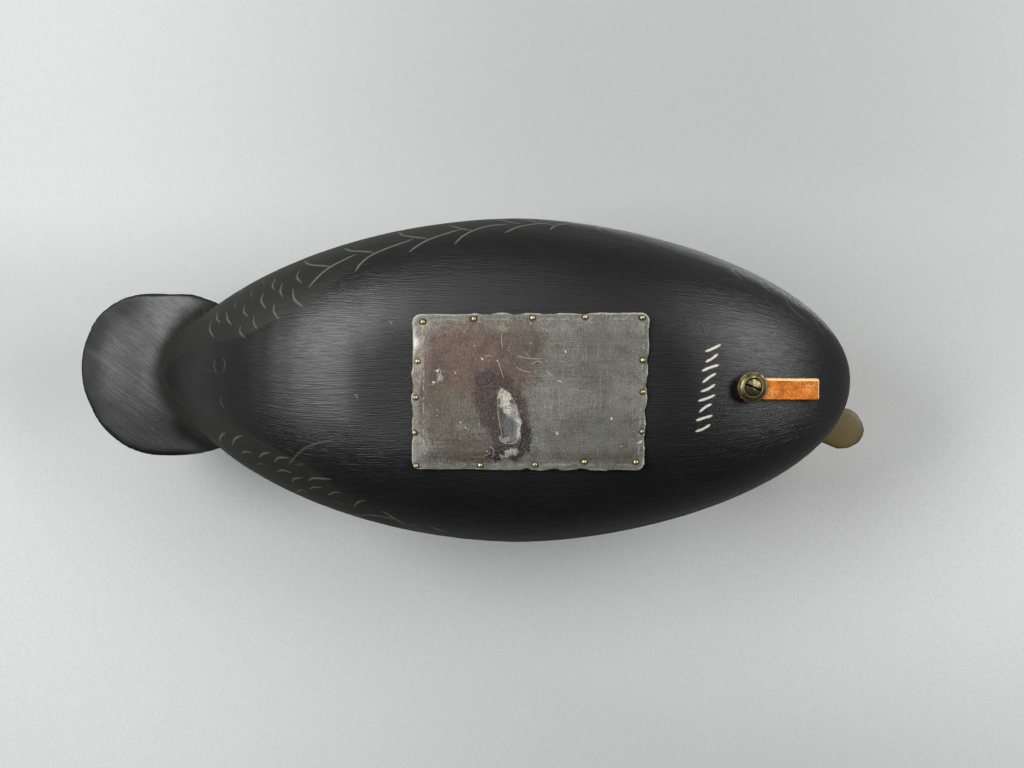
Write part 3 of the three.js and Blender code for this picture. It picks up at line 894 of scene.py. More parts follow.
FLANK_ENDS = (
    ((304.7, 261.1), (310.3, 264.7), (330.2, 266.5)), ((344.5, 248.4), (352.1, 250.9), (373.6, 252.2)),
    ((398.6, 232), (404.2, 235.6), (427.7, 238.9)), ((448.3, 225.2), (460, 228.2), (471.9, 230.3)),
    ((496.8, 219.3), (509, 221.9), (521.6, 223.9)), ((523.5, 218.8), (533, 221.2), (542, 223.2)),
)
RUMP_ARCS = (
    ((211.4, 320.7), (209.6, 329.5), (213.9, 337.1)), ((218, 311.6), (216.8, 317.9), (219.8, 322.5)),
    ((227, 311.6), (227.2, 318.7), (231.4, 324.5)), ((240.4, 325.9), (240, 332.1), (244.8, 337.9)),
    ((244.5, 305.4), (243.9, 312.1), (247.9, 316.1)), ((253.8, 317), (253.8, 323.2), (257.3, 328.9)),
    ((263.6, 292.9), (261.3, 300.9), (265.9, 308.6)), ((274.3, 303.9), (273.8, 311.6), (278.9, 318.8)),
    ((275.2, 278.6), (272.5, 285.7), (274.3, 289.6)), ((282.3, 283.6), (280.2, 291.1), (282.9, 296.8)),
    ((299.3, 270.5), (296.9, 276.9), (301.6, 283.1)), ((293, 288.8), (294.3, 299.1), (303.2, 307.1)),
    ((225.2, 432.7), (220.8, 436), (219.8, 442)), ((232.3, 444.6), (235.2, 438.4), (242.1, 435.7)),
    ((241.3, 453.2), (246, 451.6), (251.1, 452.7)), ((259.1, 458), (262.6, 454), (269.8, 452.7)),
    ((274.6, 461.8), (278.6, 457.8), (288.4, 457.8)), ((276.9, 471.6), (282.6, 470.1), (291.2, 472.7)),
    ((291.8, 481.9), (294.7, 478.5), (302.7, 477.7)), ((308.5, 480.8), (313.6, 478.1), (330.8, 479)),
    ((309.6, 488.8), (314.2, 487.1), (321.7, 487.6)), ((296.4, 491.7), (301.6, 489.9), (308.5, 492.8)),
    ((328.5, 495.1), (334.3, 492.2), (340, 492.8)), ((353.8, 506.6), (358.4, 502), (365.3, 500.3)),
)
FAINT_ARCS = (
    ((235.9, 300), (234.6, 305), (235.9, 309.3)), ((252.9, 289.3), (251.2, 293), (252.5, 297.3)),
    ((264.5, 278.6), (262.9, 281), (263.6, 283.9)), ((256.4, 464.6), (261, 463.6), (265.4, 465.2)),
    ((296.4, 465.8), (300, 464.2), (303.8, 464)), ((330.8, 502.9), (336, 501.8), (342.3, 502.6)),
    ((288.4, 464.7), (301, 450.9), (315.9, 443.4), (334.3, 440)),
    ((215.4, 359), (214, 366), (216.4, 373.6)), ((222.4, 357.6), (225.2, 364), (223, 372)),
    ((221, 396.8), (220.6, 403), (224.6, 408)), ((737.7, 270.6), (746, 276.4), (755, 282.5)),
    ((758.8, 279.8), (764.8, 287.4), (775.6, 295)), ((784.3, 296.1), (790.8, 307.5), (807.1, 321.6)),
    ((812.5, 315), (816.8, 324.8), (825, 335.6)),
)
TICKS = (
    ((354.6, 394.6), (356.6, 395.2), (357.2, 398.6)), ((389.6, 321), (391, 322), (391.4, 324.4)),
    ((409.4, 524.6), (413, 525.2), (417.6, 525.8)),
)
POCKET_EDGES = (((243, 337.8), (262, 328), (283, 317.5), (303.8, 308)),)
BELLY_SCORES = (((353, 401.4), (382, 401.2), (408, 401.8)),)
TALLY_LEANS = (7, 5, 8, 6, 7, 9, 6, 8, 7)  # pixels by which the pale strokes slant
FLANK_LEVEL = 0.051  # m, where the silhouette lies


@dataclass(frozen=True)
class HiddenFeathers:
    """Feather lines in the same manner on what the photograph doesn't show.

    Places are a station in millimetres and a girth angle in degrees, 0 at the keel, 90 at the
    beam and 180 at the back.
    """

    flank_girths: tuple[float, ...] = (103, 121, 139, 157)
    flank_stations: Triple = (-128, 62, 24)  # from, to, step
    rump_girths: tuple[float, ...] = (96, 112, 128, 144, 160, 174)
    rump_stations: Triple = (-186, -134, 11)
    breast_girths: tuple[float, ...] = (66, 84, 102, 120, 138)
    breast_stations: Triple = (96, 150, 14)

    @staticmethod
    def places(girths: tuple[float, ...], stations: Triple, side: Side) -> Iterator[Pair]:
        """Where the feathers of one side's rows are, each row half a step on from the last.

        Args:
            girths: The rows' girth angles.
            stations: Where a row begins and ends, and its step.
            side: The side of the body.

        Yields:
            A station and a girth angle with its side's sign.
        """
        start, stop, step = stations
        for row, girth in enumerate(girths):
            for station in np.arange(start + step * (row % 2) / 2, stop, step):
                yield station, side.value * girth


@dataclass
class Body:
    """The hull and tail with their painted lines. Sizes are in millimetres."""

    voxel: float = 1.41
    rounds: int = 80  # of smoothing
    seat: Triple = (93.0, 101.2, -0.219)  # station, level, slope
    seat_lip: float = 3.0
    filler: float = 0.45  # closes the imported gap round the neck
    carved: float = 0.22  # how uneven a spokeshave leaves the wood
    rump: tuple[float, float, float, float] = (-150.0, 1.4, 59.0, 45.0)  # oval that ends the rump
    fillet: float = 25.0  # how far behind the oval's middle the fillet is in full
    tail_middle: Pair = (-208.0, 2.1)
    curl: Pair = (25.0, 1.7)  # how wide and how far the tail's rear rim turns down
    hollow: tuple[float, float, float, float, float] = (-188.0, 34.0, 17.0, 12.0, 2.4)  # a gouge's
    tail_root: float = -183.0
    tail_foot: float = 80.0  # the level that the board is above
    shoulder: float = 3.3  # how much wider the board is on its right, where it meets the rump
    trueing: float = 5.0  # degrees over which the tail's outline is evened out
    axis_stations: tuple[float, ...] = (-215, -150, -60, 60, 156)
    axis_levels: tuple[float, ...] = (95, 75, 58, 57, 58)
    cylinder: float = 80.0  # radius of the cylinder that the brush marks are laid out on
    fan_turn: float = math.radians(35)  # how the tail was brushed
    pocket: float = 65.0  # girth angle at which the flank paint starts along the sides

    def build(self) -> None:
        """Makes the piece, paints it and fixes it to the frame."""
        piece = self.block()
        self.round_off(piece)
        self.true_up(piece)
        self.widen_shoulder(piece)
        self.dish(piece)
        self.mark_zones(piece)
        layers = self.line(piece)
        completed(piece, PaintedWood().material(layers), "body")

    def block(self) -> Piece:
        """Joins the body to a low ring of filler round the neck, in one fine mesh.

        Returns:
            The rough piece.
        """
        piece = merged_copy("body", "painted_body")
        ring = merged_copy("head", "neck_filler")
        x, z, slope = self.seat
        with editing(ring):
            bpy.ops.mesh.bisect(
                plane_co=(x * MM, 0, (z + self.seat_lip) * MM),
                plane_no=(-slope, 0, 1),
                use_fill=True,
                clear_outer=True,
            )
        move_points(ring, points_of(ring) + normals_of(ring) * self.filler)
        only(piece)
        ring.select_set(True)
        bpy.ops.object.join()
        applied(piece, "REMESH", mode="VOXEL", voxel_size=self.voxel * MM)
        return piece

    def rim_distance(self, points: Array) -> Array:
        """How far each point is from the tail board's outline, seen from above.

        Args:
            points: The points.

        Returns:
            One distance for each point, large away from the tail.
        """
        board = points[points[:, 0] < self.rump[0] - self.fillet]
        root = board[:, 0].max() - 3
        edges = edges_of(convex_outline(board))
        return edge_distance(points, [edge for edge in edges if max(edge[0][0], edge[1][0]) <= root])

    def rump_reach(self, points: Array) -> Array:
        """How far out each point is, seen from above, with 1 on the oval that ends the rump."""
        x, y, long, wide = self.rump
        return np.hypot((points[:, 0] - x) / long, (points[:, 1] - y) / wide)

    def on_fillet(self, points: Array, middle_at: float, width: object) -> Array:
        """How near each point is to the fillet between the tail board and the rump.

        Args:
            points: The points.
            middle_at: Where the fillet's middle is, as a share of the oval.
            width: How wide it is, as such a share.

        Returns:
            From 0 to 1 for each point.
        """
        x = self.rump[0]
        across = (self.rump_reach(points) - middle_at) / width
        return np.exp(-(across**2)) * eased(points[:, 0], x, x - self.fillet)

    def on_board(self, points: Array) -> Array:
        """1 on the tail board and 0 on the rump, blending over the fillet."""
        behind = points[:, 0] < self.rump[0]
        return np.where(behind, eased(self.rump_reach(points), 0.97, 1.07), 0.0)

    def round_off(self, piece: Piece) -> None:
        """Smooths the facets, keeping the tail's thin rim.

        Args:
            piece: The mesh.
        """
        points = points_of(piece)
        self.freed = 0.1 + 0.9 * eased(self.rim_distance(points), 3, 14)
        surface = surface_of(piece)
        softened(piece, self.freed, self.rounds)
        restored(piece, surface, 60)
        points = points_of(piece)
        fillet = self.on_fillet(points, 1.0, 0.16 + 0.2 * eased(points[:, 1], 0, 25))
        softened(piece, fillet * eased(points[:, 2], 105, 97), self.rounds)

    def true_up(self, piece: Piece) -> None:
        """Makes the tail's outline one clean curve, as a saw and a rasp leave it.

        The board's outline is measured outwards from its middle, one degree at a time, and
        evened out. Each point then moves in or out by as much as the outline does there.

        Args:
            piece: The mesh.
        """
        points = points_of(piece)
        centre = np.array(self.tail_middle)
        flat = points[:, :2] - centre
        turn = np.degrees(np.arctan2(flat[:, 1], -flat[:, 0]))
        board = (points[:, 0] < self.tail_root) & (points[:, 2] > self.tail_foot)
        degrees, inverse, clean = self.outlines(points[board, :2] - centre)
        behind = eased(np.abs(turn), 118, 108) * board
        reach = np.hypot(flat[:, 0], flat[:, 1]) * np.interp(turn, degrees, inverse)
        found = np.zeros(180)
        sector = np.clip((turn + 180) // 2, 0, 179).astype(int)
        np.maximum.at(found, sector, reach * (behind > 0.5))
        found = np.where(found > 0.9, found, 1.0)
        found = np.convolve(np.pad(found, 1, mode="wrap"), (0.25, 0.5, 0.25), "valid")
        dips = np.interp(turn, np.arange(-179, 180, 2), found)
        ratio = np.interp(turn, degrees, clean * inverse) / dips - 1
        flat *= (1 + ratio * eased(reach, 0.6, 0.95) * behind)[:, None]
        points[:, :2] = centre + flat
        move_points(piece, kept_inside(points))

    def outlines(self, board: Array) -> tuple[Array, Array, Array]:
        """The tail board's outline by its direction from the board's middle.

        Args:
            board: The board's flat points, from its middle.

        Returns:
            The directions in degrees from the rear, one over the outline's distance in each,
            and its distance once evened out.
        """
        outline = convex_outline(board)
        edges = np.roll(outline, -1, axis=0) - outline
        normals = np.stack((edges[:, 1], -edges[:, 0]), 1)
        gaps = (normals * outline).sum(1)
        degrees = np.arange(-180, 181)
        aims = np.stack((-np.cos(np.radians(degrees)), np.sin(np.radians(degrees))), 1)
        inverse = (aims @ normals.T / gaps).max(1)
        reach = 18
        kernel = np.exp(-((np.arange(-reach, reach + 1) / self.trueing) ** 2) / 2)
        wrapped = np.pad(1 / inverse, reach, mode="wrap")
        return degrees, inverse, np.convolve(wrapped, kernel / kernel.sum(), "valid")

    def widen_shoulder(self, piece: Piece) -> None:
        """Draws the board out on its right, just behind the rump.

        Args:
            piece: The mesh.
        """
        points = points_of(piece)
        x, y, z = points.T
        share = eased(x, -205, -184) * eased(x, -164, -177) * eased(y, -18, -36) * eased(z, 84, 92)
        points[:, 1] -= self.shoulder * share
        move_points(piece, kept_inside(points))

    def dish(self, piece: Piece) -> None:
        """Leaves the tail's rear rim proud, a hollow at its corner and the wood a little uneven.

        Args:
            piece: The mesh.
        """
        points = points_of(piece)
        below = eased(-normals_of(piece)[:, 2], 0.2, 0.8) * self.on_board(points)
        below *= eased(points[:, 2], 84, 91)
        wide, depth = self.curl
        rim = np.clip(1 - self.rim_distance(points) / wide, 0, 1) ** 2
        rear = eased(points[:, 0], -206, -226) * eased(points[:, 1], 24, 8)
        points[:, 2] -= depth * rim * rear * below
        x, y, long, wide, depth = self.hollow
        far = ((points[:, 0] - x) / long) ** 2 + ((points[:, 1] - y) / wide) ** 2
        points[:, 2] += depth * np.exp(-far) * below
        move_points(piece, points)
        points = points_of(piece)
        dips = (wander(points, 38, 3.1) + 0.5 * wander(points, 15, 8.7)) / 1.5 - 1
        moved = points + normals_of(piece) * (dips * self.carved * self.freed / 2)[:, None]
        move_points(piece, moved)

    def girth(self, points: Array) -> Array:
        """The angle of each point round the body, 0 at the keel and 180 degrees at the back."""
        axis = np.interp(points[:, 0], self.axis_stations, self.axis_levels)
        return np.arctan2(points[:, 1], axis - points[:, 2])

    def mark_zones(self, piece: Piece) -> None:
        """Stores the brush marks' coordinates, and what part of the body each vertex is on.

        Args:
            piece: The mesh.
        """
        points = points_of(piece)
        x, y, z = points.T
        girth = self.girth(points)
        round_body = (x, self.cylinder * np.cos(girth), self.cylinder * np.sin(girth))
        store(piece, "grain", np.stack(round_body, 1))
        turn, lean = math.cos(self.fan_turn), math.sin(self.fan_turn)
        along = x * turn + y * lean
        across = y * turn - x * lean
        store(piece, "fan", np.stack((along, across, z), 1))
        tree = surface_of(piece)
        edge = as_line([SIGHT.on_surface(tree, *pixel, FLANK_LEVEL) for pixel in POCKET_EDGES[0]])
        turns = np.degrees(np.abs(self.girth(edge)))
        low = np.interp(x, (*edge[:, 0], -60.0), (*turns, self.pocket))
        blend = 1.2 + 9 * eased(x, edge[-1, 0], -60)
        board = self.on_board(points)
        flank = eased(np.degrees(np.abs(girth)), low, low + blend) * (1 - board)
        fillet = self.on_fillet(points, 0.99, 0.09)
        fillet *= eased(-normals_of(piece)[:, 2], -0.1, 0.3) * eased(z, 60, 84)
        flank += 2.4 * fillet  # the brush left the fillet rough
        rim = np.where(board > 0.5, self.rim_distance(points), FAR)
        store(piece, "zones", np.stack((board, flank, np.minimum(rim, 20)), 1))

    def line(self, piece: Piece) -> dict[Brush, int]:
        """Paints the feather lines and the marks.

        Args:
            piece: The finished mesh.

        Returns:
            How many attributes each brush's lines fill.
        """
        tree = surface_of(piece)

        def seen(marks: tuple, strength: float) -> list[Stroke]:
            """The strokes of some of the photograph's marks."""
            return strokes_at(tree, marks, strength, FLANK_LEVEL)

        strokes = {
            Brush.FEATHER: [
                *seen(FLANK_EDGES, 0.85),
                *seen(FLANK_ENDS, 0.75),
                *seen(RUMP_ARCS, 0.6),
                *seen(FAINT_ARCS, 0.28),
                *seen(TICKS, 0.8),
                *self.hidden(tree),
            ],
            Brush.SCORE: seen(POCKET_EDGES, 0.9) + seen(BELLY_SCORES, 0.7),
            Brush.CHALK: self.tally(tree),
        }
        lining = Lining(piece)
        return {brush: lining.lay(painted, brush) for brush, painted in strokes.items()}

    def on_girth(self, tree: BVHTree, station: float, degrees: float) -> Vector:
        """A point on the surface by its station and girth angle.

        Args:
            tree: The surface.
            station: How far forward it is, in millimetres.
            degrees: The girth angle.

        Returns:
            The point, in metres.
        """
        level = float(np.interp(station, self.axis_stations, self.axis_levels))
        angle = math.radians(degrees)
        start = Vector((station, 0, level)) * MM
        out = Vector((0, math.sin(angle), -math.cos(angle)))
        hit = tree.ray_cast(start, out)[0]
        return hit if hit is not None else start

    def hidden(self, tree: BVHTree) -> list[Stroke]:
        """Feather lines on the flanks, back, rump and breast that the photograph doesn't show.

        Args:
            tree: The body's surface.

        Returns:
            The strokes.
        """
        plan = HiddenFeathers()
        strokes: list[Stroke] = []

        def put(places: list[Pair], strength: float) -> None:
            """Adds a stroke through places on the body, but none on the tail board."""
            line = as_line(curved([self.on_girth(tree, *place) for place in places]))
            if self.on_board(line).max() < 0.1:
                strokes.append(Stroke(line, strength))

        for side in Side:
            s = side.value
            for x, g in plan.places(plan.flank_girths, plan.flank_stations, side):
                put([(x - 7, g - 8 * s), (x, g - 4 * s), (x + 8, g), (x + 22, g + 3 * s)], 0.6)
                put([(x - 8, g + 5 * s), (x - 1, g + 3 * s), (x + 8, g)], 0.5)
            for x, g in plan.places(plan.rump_girths, plan.rump_stations, side):
                put([(x + 3, g - 5), (x - 1, g), (x + 3, g + 5)], 0.5)
            for x, g in plan.places(plan.breast_girths, plan.breast_stations, side):
                put([(x + 4, g - 7), (x - 1, g), (x + 4, g + 7)], 0.4)
        return strokes

    def tally(self, tree: BVHTree) -> list[Stroke]:
        """A row of plain slanting strokes across the belly, ahead of the plate.

        Args:
            tree: The body's surface.

        Returns:
            The strokes.
        """
        marks = []
        columns = np.linspace(703.0, 713.0, len(TALLY_LEANS))
        rows = np.linspace(428.0, 348.0, len(TALLY_LEANS))
        for number, (x, y, lean) in enumerate(zip(columns, rows, TALLY_LEANS, strict=True)):
            half = 7.2 + 1.2 * math.sin(number * 2.4)
            bow = math.cos(number * 1.7)
            marks.append(((x - half, y + lean / 2), (x, y + bow), (x + half, y - lean / 2)))
        return strokes_at(tree, tuple(marks), 1.0, FLANK_LEVEL)


def turned(name: str, profile: tuple[Pair, ...], sides: int, place: Matrix) -> Piece:
    """A piece turned on a lathe, or struck round.

    Args:
        name: The new object's name.
        profile: Radius and height of each point of the outline, in millimetres.
        sides: How many steps it takes round.
        place: Where its axis goes, in metres.

    Returns:
        The new object, with its vertices in place.
    """
    mesh = bpy.data.meshes.new(name)
    corners = [(radius * MM, 0, height * MM) for radius, height in profile]
    mesh.from_pydata(corners, [(i, i + 1) for i in range(len(corners) - 1)], [])
    piece = bpy.data.objects.new(name, mesh)
    bpy.context.scene.collection.objects.link(piece)
    with editing(piece):
        bpy.ops.mesh.spin(
            steps=sides, angle=math.tau, center=(0, 0, 0), axis=(0, 0, 1), use_auto_merge=True
        )
        bpy.ops.mesh.select_all(action="SELECT")
        bpy.ops.mesh.remove_doubles(threshold=0.005 * MM)
        bpy.ops.mesh.normals_make_consistent(inside=False)
    mesh.transform(place)
    return piece


def arc(centre: Pair, radius: float, start: float, end: float, count: int) -> list[Pair]:
    """Points of a profile on part of a circle, between two angles in radians."""
    turns = np.linspace(start, end, count)
    return [(centre[0] + radius * math.cos(a), centre[1] + radius * math.sin(a)) for a in turns]


def facing(place: Vector, ahead: Vector) -> Matrix:
    """A frame at a place whose Z points ahead."""
    return Matrix.Translation(place) @ ahead.to_track_quat("Z", "Y").to_matrix().to_4x4()


def middle(node: str) -> Vector:
    """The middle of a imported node's box, in metres."""
    low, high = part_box(node)
    return (low + high) / 2


# The head


@dataclass(frozen=True)
class FacePaint:
    """Brown cheeks streaked with a fine brush under a dark crown, and a flat olive bill."""

    cheek: str = "#5a4c3a"
    streak: str = "#2b241d"
    crown: str = "#211d1a"
    neck: str = "#1f1f20"
    bill: str = "#75653d"
    bill_edge: str = "#4a4029"
    nail: str = "#2e2b22"
    roughness: float = 0.55
    ridge: float = 0.05  # mm

    def material(self) -> Finish:
        """Mixes the paint from the face's own coordinates.

        Returns:
            The material.
        """
        mix = Recipe("streaked_head_paint")
        face = mix.add("Attribute", attribute_name="face").outputs["Vector"]
        axis = mix.add("SeparateXYZ", {0: face}).outputs
        part = mix.parts_of("parts")
        fine = mix.streaks(face, 7, 0.8)
        broad = mix.streaks(face, 26, 2.4)
        drift = mix.clouds(face, 9)
        cheek = mix.over(self.cheek, self.streak, mix.stepped(fine, 0.46, 0.6))
        cheek = mix.over(cheek, self.streak, mix.stepped(broad, 0.5, 0.7, 0.5))
        height = mix.scaled(drift, 5.0, axis["Z"])
        paint = mix.over(cheek, self.crown, mix.stepped(height, 9.5, 13.0))
        tilt = mix.scaled(axis["X"], -0.1, axis["Z"])
        off_line = mix.sum_of("ABSOLUTE", mix.sum_of("SUBTRACT", tilt, 0.6))
        ragged = mix.scaled(fine, 3.0, off_line)
        paint = mix.over(paint, self.crown, mix.stepped(ragged, 4.6, 3.2, 0.9))
        low = mix.scaled(drift, 7.0, axis["Z"])
        paint = mix.over(paint, self.neck, mix.stepped(low, -35.0, -41.0))
        bill = mix.over(self.bill, self.bill_edge, mix.stepped(broad, 0.48, 0.8, 0.25))
        bill = mix.over(bill, self.bill_edge, part["Y"])
        bill = mix.over(bill, self.nail, mix.times(part["Z"], 0.7))
        paint = mix.over(paint, bill, part["X"])
        return mix.finished({"Base Color": paint, "Roughness": self.roughness}, fine, self.ridge)


@dataclass(frozen=True)
class GlassEye:
    """A brown glass eye: clear over a painted back."""

    pupil: str = "#050404"
    iris: str = "#5a3216"
    iris_edge: str = "#1d0f07"
    pupil_radius: float = 1.55  # mm
    iris_radius: float = 3.9  # mm

    def material(self) -> Finish:
        """Mixes the glass from each vertex's distance from the pupil's middle.

        Returns:
            The material.
        """
        mix = Recipe("brown_glass_eye")
        ring = mix.add("Attribute", attribute_name="ring").outputs["Fac"]
        rays = mix.clouds(mix.millimetres(), 0.6)
        iris = mix.over(self.iris, self.iris_edge, mix.stepped(rays, 0.4, 0.9))
        dim = mix.stepped(ring, self.iris_radius - 1.6, self.iris_radius)
        iris = mix.over(iris, self.iris_edge, dim)
        edge = self.pupil_radius
        glass = mix.over(self.pupil, iris, mix.stepped(ring, edge - 0.08, edge + 0.12))
        look = {"Base Color": glass, "Roughness": 0.12, "Coat Weight": 1.0, "Coat Roughness": 0.03}
        return mix.surface(mix.add("BsdfPrincipled", look))


@dataclass
class Head:
    """The turned head, neck and bill, and its eyes. Sizes are in millimetres.

    Its face has coordinates of its own: ahead of the eyes, to the bird's left, and above them.
    """

    voxel: float = 0.75
    rounds: int = 75  # of smoothing
    bill_start: float = 17.0
    bill_softness: float = 0.3
    mouth_ahead: tuple[float, ...] = (15, 28, 46, 72)
    mouth_above: tuple[float, ...] = (-18.8, -22.6, -28.6, -31.8)
    mouth_depth: float = 0.5
    nostril: tuple[float, float, float, float] = (32.0, -17.4, 2.6, -0.45)  # place, half length, lean
    nostril_depth: float = 1.2
    lid: Triple = (4.5, 0.75, 0.4)  # radius, width and height
    nail: Triple = (74.3, 9.5, 5.2)  # place and half sizes

    def build(self) -> None:
        """Makes the head and the two eyes."""
        left, right = middle("eye_left"), middle("eye_right")
        across = (left - right).normalized()
        self.origin = np.array((left + right) / 2) / MM
        self.ahead = np.array((across.y, -across.x, 0.0))
        self.across = np.array((across.x, across.y, 0.0))
        piece = merged_copy("head", "painted_head")
        applied(piece, "REMESH", mode="VOXEL", voxel_size=self.voxel * MM)
        face = self.face_of(points_of(piece))
        on_bill = eased(face[:, 0], self.bill_start - 4, self.bill_start + 4)
        by_eye = eased(np.hypot(face[:, 0], face[:, 2]), 9, 4) * (np.abs(face[:, 1]) > 9)
        surface = surface_of(piece)
        softened(piece, 1 - (1 - self.bill_softness) * np.maximum(on_bill, by_eye), self.rounds)
        restored(piece, surface, 30)
        self.carve(piece)
        completed(piece, FacePaint().material(), "head")
        for side, centre in ((Side.LEFT, left), (Side.RIGHT, right)):
            self.set_eye(side, centre, across * side.value)

    def face_of(self, points: Array) -> Array:
        """Turns points into the face's coordinates."""
        offset = points - self.origin
        return np.stack((offset @ self.ahead, offset @ self.across, offset[:, 2]), 1)

    def bill_edge(self, face: Array) -> Array:
        """How far each point is ahead of the feathers' edge at the bill."""
        sag = 0.012 * np.minimum(np.abs(face[:, 2] + 14), 14) ** 2
        point = 3.5 * np.exp(-((face[:, 1] / 4) ** 2)) * eased(face[:, 2], -14, -6)
        neck = 60 * eased(face[:, 2], -34, -44)
        return face[:, 0] - self.bill_start + sag - point - neck

    def carve(self, piece: Piece) -> None:
        """Cuts the mouth, nostrils, nail, lids and bill edge, and stores the face's parts.

        Args:
            piece: The mesh.
        """
        points, normals = points_of(piece), normals_of(piece)
        face = self.face_of(points)
        ahead, beside, above = face.T
        bill = self.bill_edge(face)
        mouth = np.interp(ahead, self.mouth_ahead, self.mouth_above)
        lip = np.abs(above - mouth)
        open_mouth = eased(ahead, self.mouth_ahead[0] - 1, self.mouth_ahead[0] + 1)
        cut = self.mouth_depth * np.exp(-((lip / 0.7) ** 2)) * open_mouth
        x, z, half, lean = self.nostril
        along = np.clip(ahead - x, -half, half)
        hole = np.hypot(ahead - x - along, above - z - lean * along)
        cut += self.nostril_depth * np.exp(-(hole**2)) * (np.abs(beside) > 2.5)
        radius, width, height = self.lid
        ring = np.hypot(ahead, above)
        cut -= height * np.exp(-(((ring - radius) / width) ** 2)) * (np.abs(beside) > 9)
        cut += 0.35 * eased(bill, -0.5, 0.5) * eased(ahead, 34, 22)
        tip, long, wide = self.nail
        oval = np.hypot((ahead - tip) / long, beside / wide)
        cut += 0.25 * np.exp(-(((oval - 1) / 0.11) ** 2)) * eased(normals[:, 2], 0.4, 0.7)
        cut += 0.12 * (wander(points, 11, 5.3) + 0.6)
        move_points(piece, points - normals * cut[:, None])
        store(piece, "face", face)
        rim = np.maximum(np.exp(-((lip / 1.1) ** 2)) * open_mouth, np.exp(-(hole**2)))
        nail = eased(oval, 1.05, 0.95) * eased(normals[:, 2], 0.4, 0.7)
        store(piece, "parts", np.stack((eased(bill, -0.35, 0.35), rim, nail), 1))

    def set_eye(self, side: Side, centre: Vector, out: Vector) -> None:
        """Turns one glass eye and sets it in its socket.

        Args:
            side: Which eye.
            centre: Its middle, in metres.
            out: Which way it looks.
        """
        dome = [(4.95 * math.sin(a), 4.95 * math.cos(a)) for a in np.linspace(1.9, 0.45, 16)]
        cornea = [(2.15 * f, 4.45 + 0.52 * math.cos(f * math.pi / 2)) for f in (0.75, 0.5, 0.25, 0)]
        back = [(0.0, -2.6), (2.6, -2.5), (4.2, -2.0)]
        place = facing(centre, out)
        piece = turned(f"{side.name.lower()}_eye", (*back, *dome, *cornea), 48, place)
        offset = points_of(piece) - np.array(centre) / MM
        outward = np.array(out)
        store(piece, "ring", np.linalg.norm(np.cross(offset, outward), axis=1))
        completed(piece, GlassEye().material(), f"eye_{side.name.lower()}")


# The ballast plate


@dataclass(frozen=True)
class Stain:
    """A patch of colour on the lead, read off the photograph: its pixel, sizes in pixels."""

    column: float
    row: float
    radii: Pair
    colour: str
    share: float = 1.0
    soft: float = 0.7
    turn: float = 0.0


STAINS = (
    Stain(474, 364, (66, 46), "#5b473b", 0.95, 0.9),
    Stain(434, 400, (19, 44), "#49362c", 0.9, 1.0),
    Stain(524, 340, (24, 24), "#514337", 0.8, 1.2),
    Stain(452, 416, (25, 32), "#5a5545", 0.9, 0.8, -0.25),
    Stain(470, 450, (36, 18), "#4b4032", 0.9, 1.2),
    Stain(502, 408, (26, 42), "#38261f", 0.95, 0.5, -0.35),
    Stain(512, 436, (20, 25), "#2e1e1a", 1.0, 0.5),
    Stain(487, 379, (13, 11), "#39282a", 0.9, 0.8),
    Stain(525, 437, (7, 16), "#190a09", 1.0, 0.5, -0.1),
    Stain(495, 453, (9, 7), "#1a0d0d", 1.0, 0.5),
    Stain(439, 378, (3.0, 7), "#9a9c8e", 0.6, 0.9, 0.2),
    Stain(503, 328, (4, 3.4), "#717862", 0.6, 1.0),
    Stain(509, 418, (10.5, 27), "#574c49", 0.9, 0.3, -0.19),
    Stain(510.5, 427, (6.4, 13), "#565a5c", 0.9, 0.7, -0.12),
    Stain(505.5, 402, (5.6, 13), "#c0bfac", 0.95, 0.8, -0.32),
    Stain(515, 414, (4.2, 11), "#9a9a90", 0.6, 1.0, -0.35),
    Stain(518, 426, (2.4, 13), "#aeaba5", 0.65, 0.9, -0.05),
    Stain(505, 439, (5.5, 3), "#a09d98", 0.6, 0.9),
    Stain(509, 453, (9.5, 3.4), "#b3b1a8", 0.75, 1.0, -0.5),
    Stain(460, 427, (5, 4), "#7c786c", 0.6, 1.1),
    Stain(561, 417, (4.0, 3.0), "#8e8f88", 0.5, 1.1),
    Stain(600, 440, (58, 30), "#57584e", 0.8, 1.3),
    Stain(606, 350, (44, 36), "#5f6056", 0.7, 1.4),
    Stain(641, 331, (5, 7), "#908b83", 0.45, 0.7),
)
SPECKS = ((557, 433), (622, 448), (482, 360), (455, 374), (613, 419), (496, 361), (639, 443),
          (560, 381), (566, 351), (459, 421), (466, 429), (437, 371), (434, 384))
SCAR = (509, 417)
SCAR_RIM = (
    (497.8, 396), (500.1, 389.9), (504, 389.8), (511.8, 397.5), (518.3, 411.8), (520.4, 424.8),
    (518.3, 437.8), (511.8, 443.5), (504, 443.2), (499.6, 439.3), (501.6, 434), (499.6, 424.8),
    (498, 410),
)
SCRATCHES = (
    ((501.4, 334), (501.6, 341), (502.7, 349)), ((498.3, 361), (500.9, 370), (503.6, 378)),
    ((516.4, 355.6), (530, 358.5), (541.7, 358.8)), ((531, 364.5), (537.8, 361.1), (543, 364.5)),
    ((545.6, 370.2), (549, 373.4), (553.4, 376.7)), ((515.8, 366.6), (523, 370.5), (531.2, 372.4)),
    ((524.8, 351), (527, 354), (528.7, 357)), ((483, 456.5), (487, 455), (491, 452.5)),
    ((438, 367), (441, 373), (438, 381)), ((489, 446), (494, 450), (492, 456)),
    ((484, 357), (488, 355.5), (492, 356.5)),
)


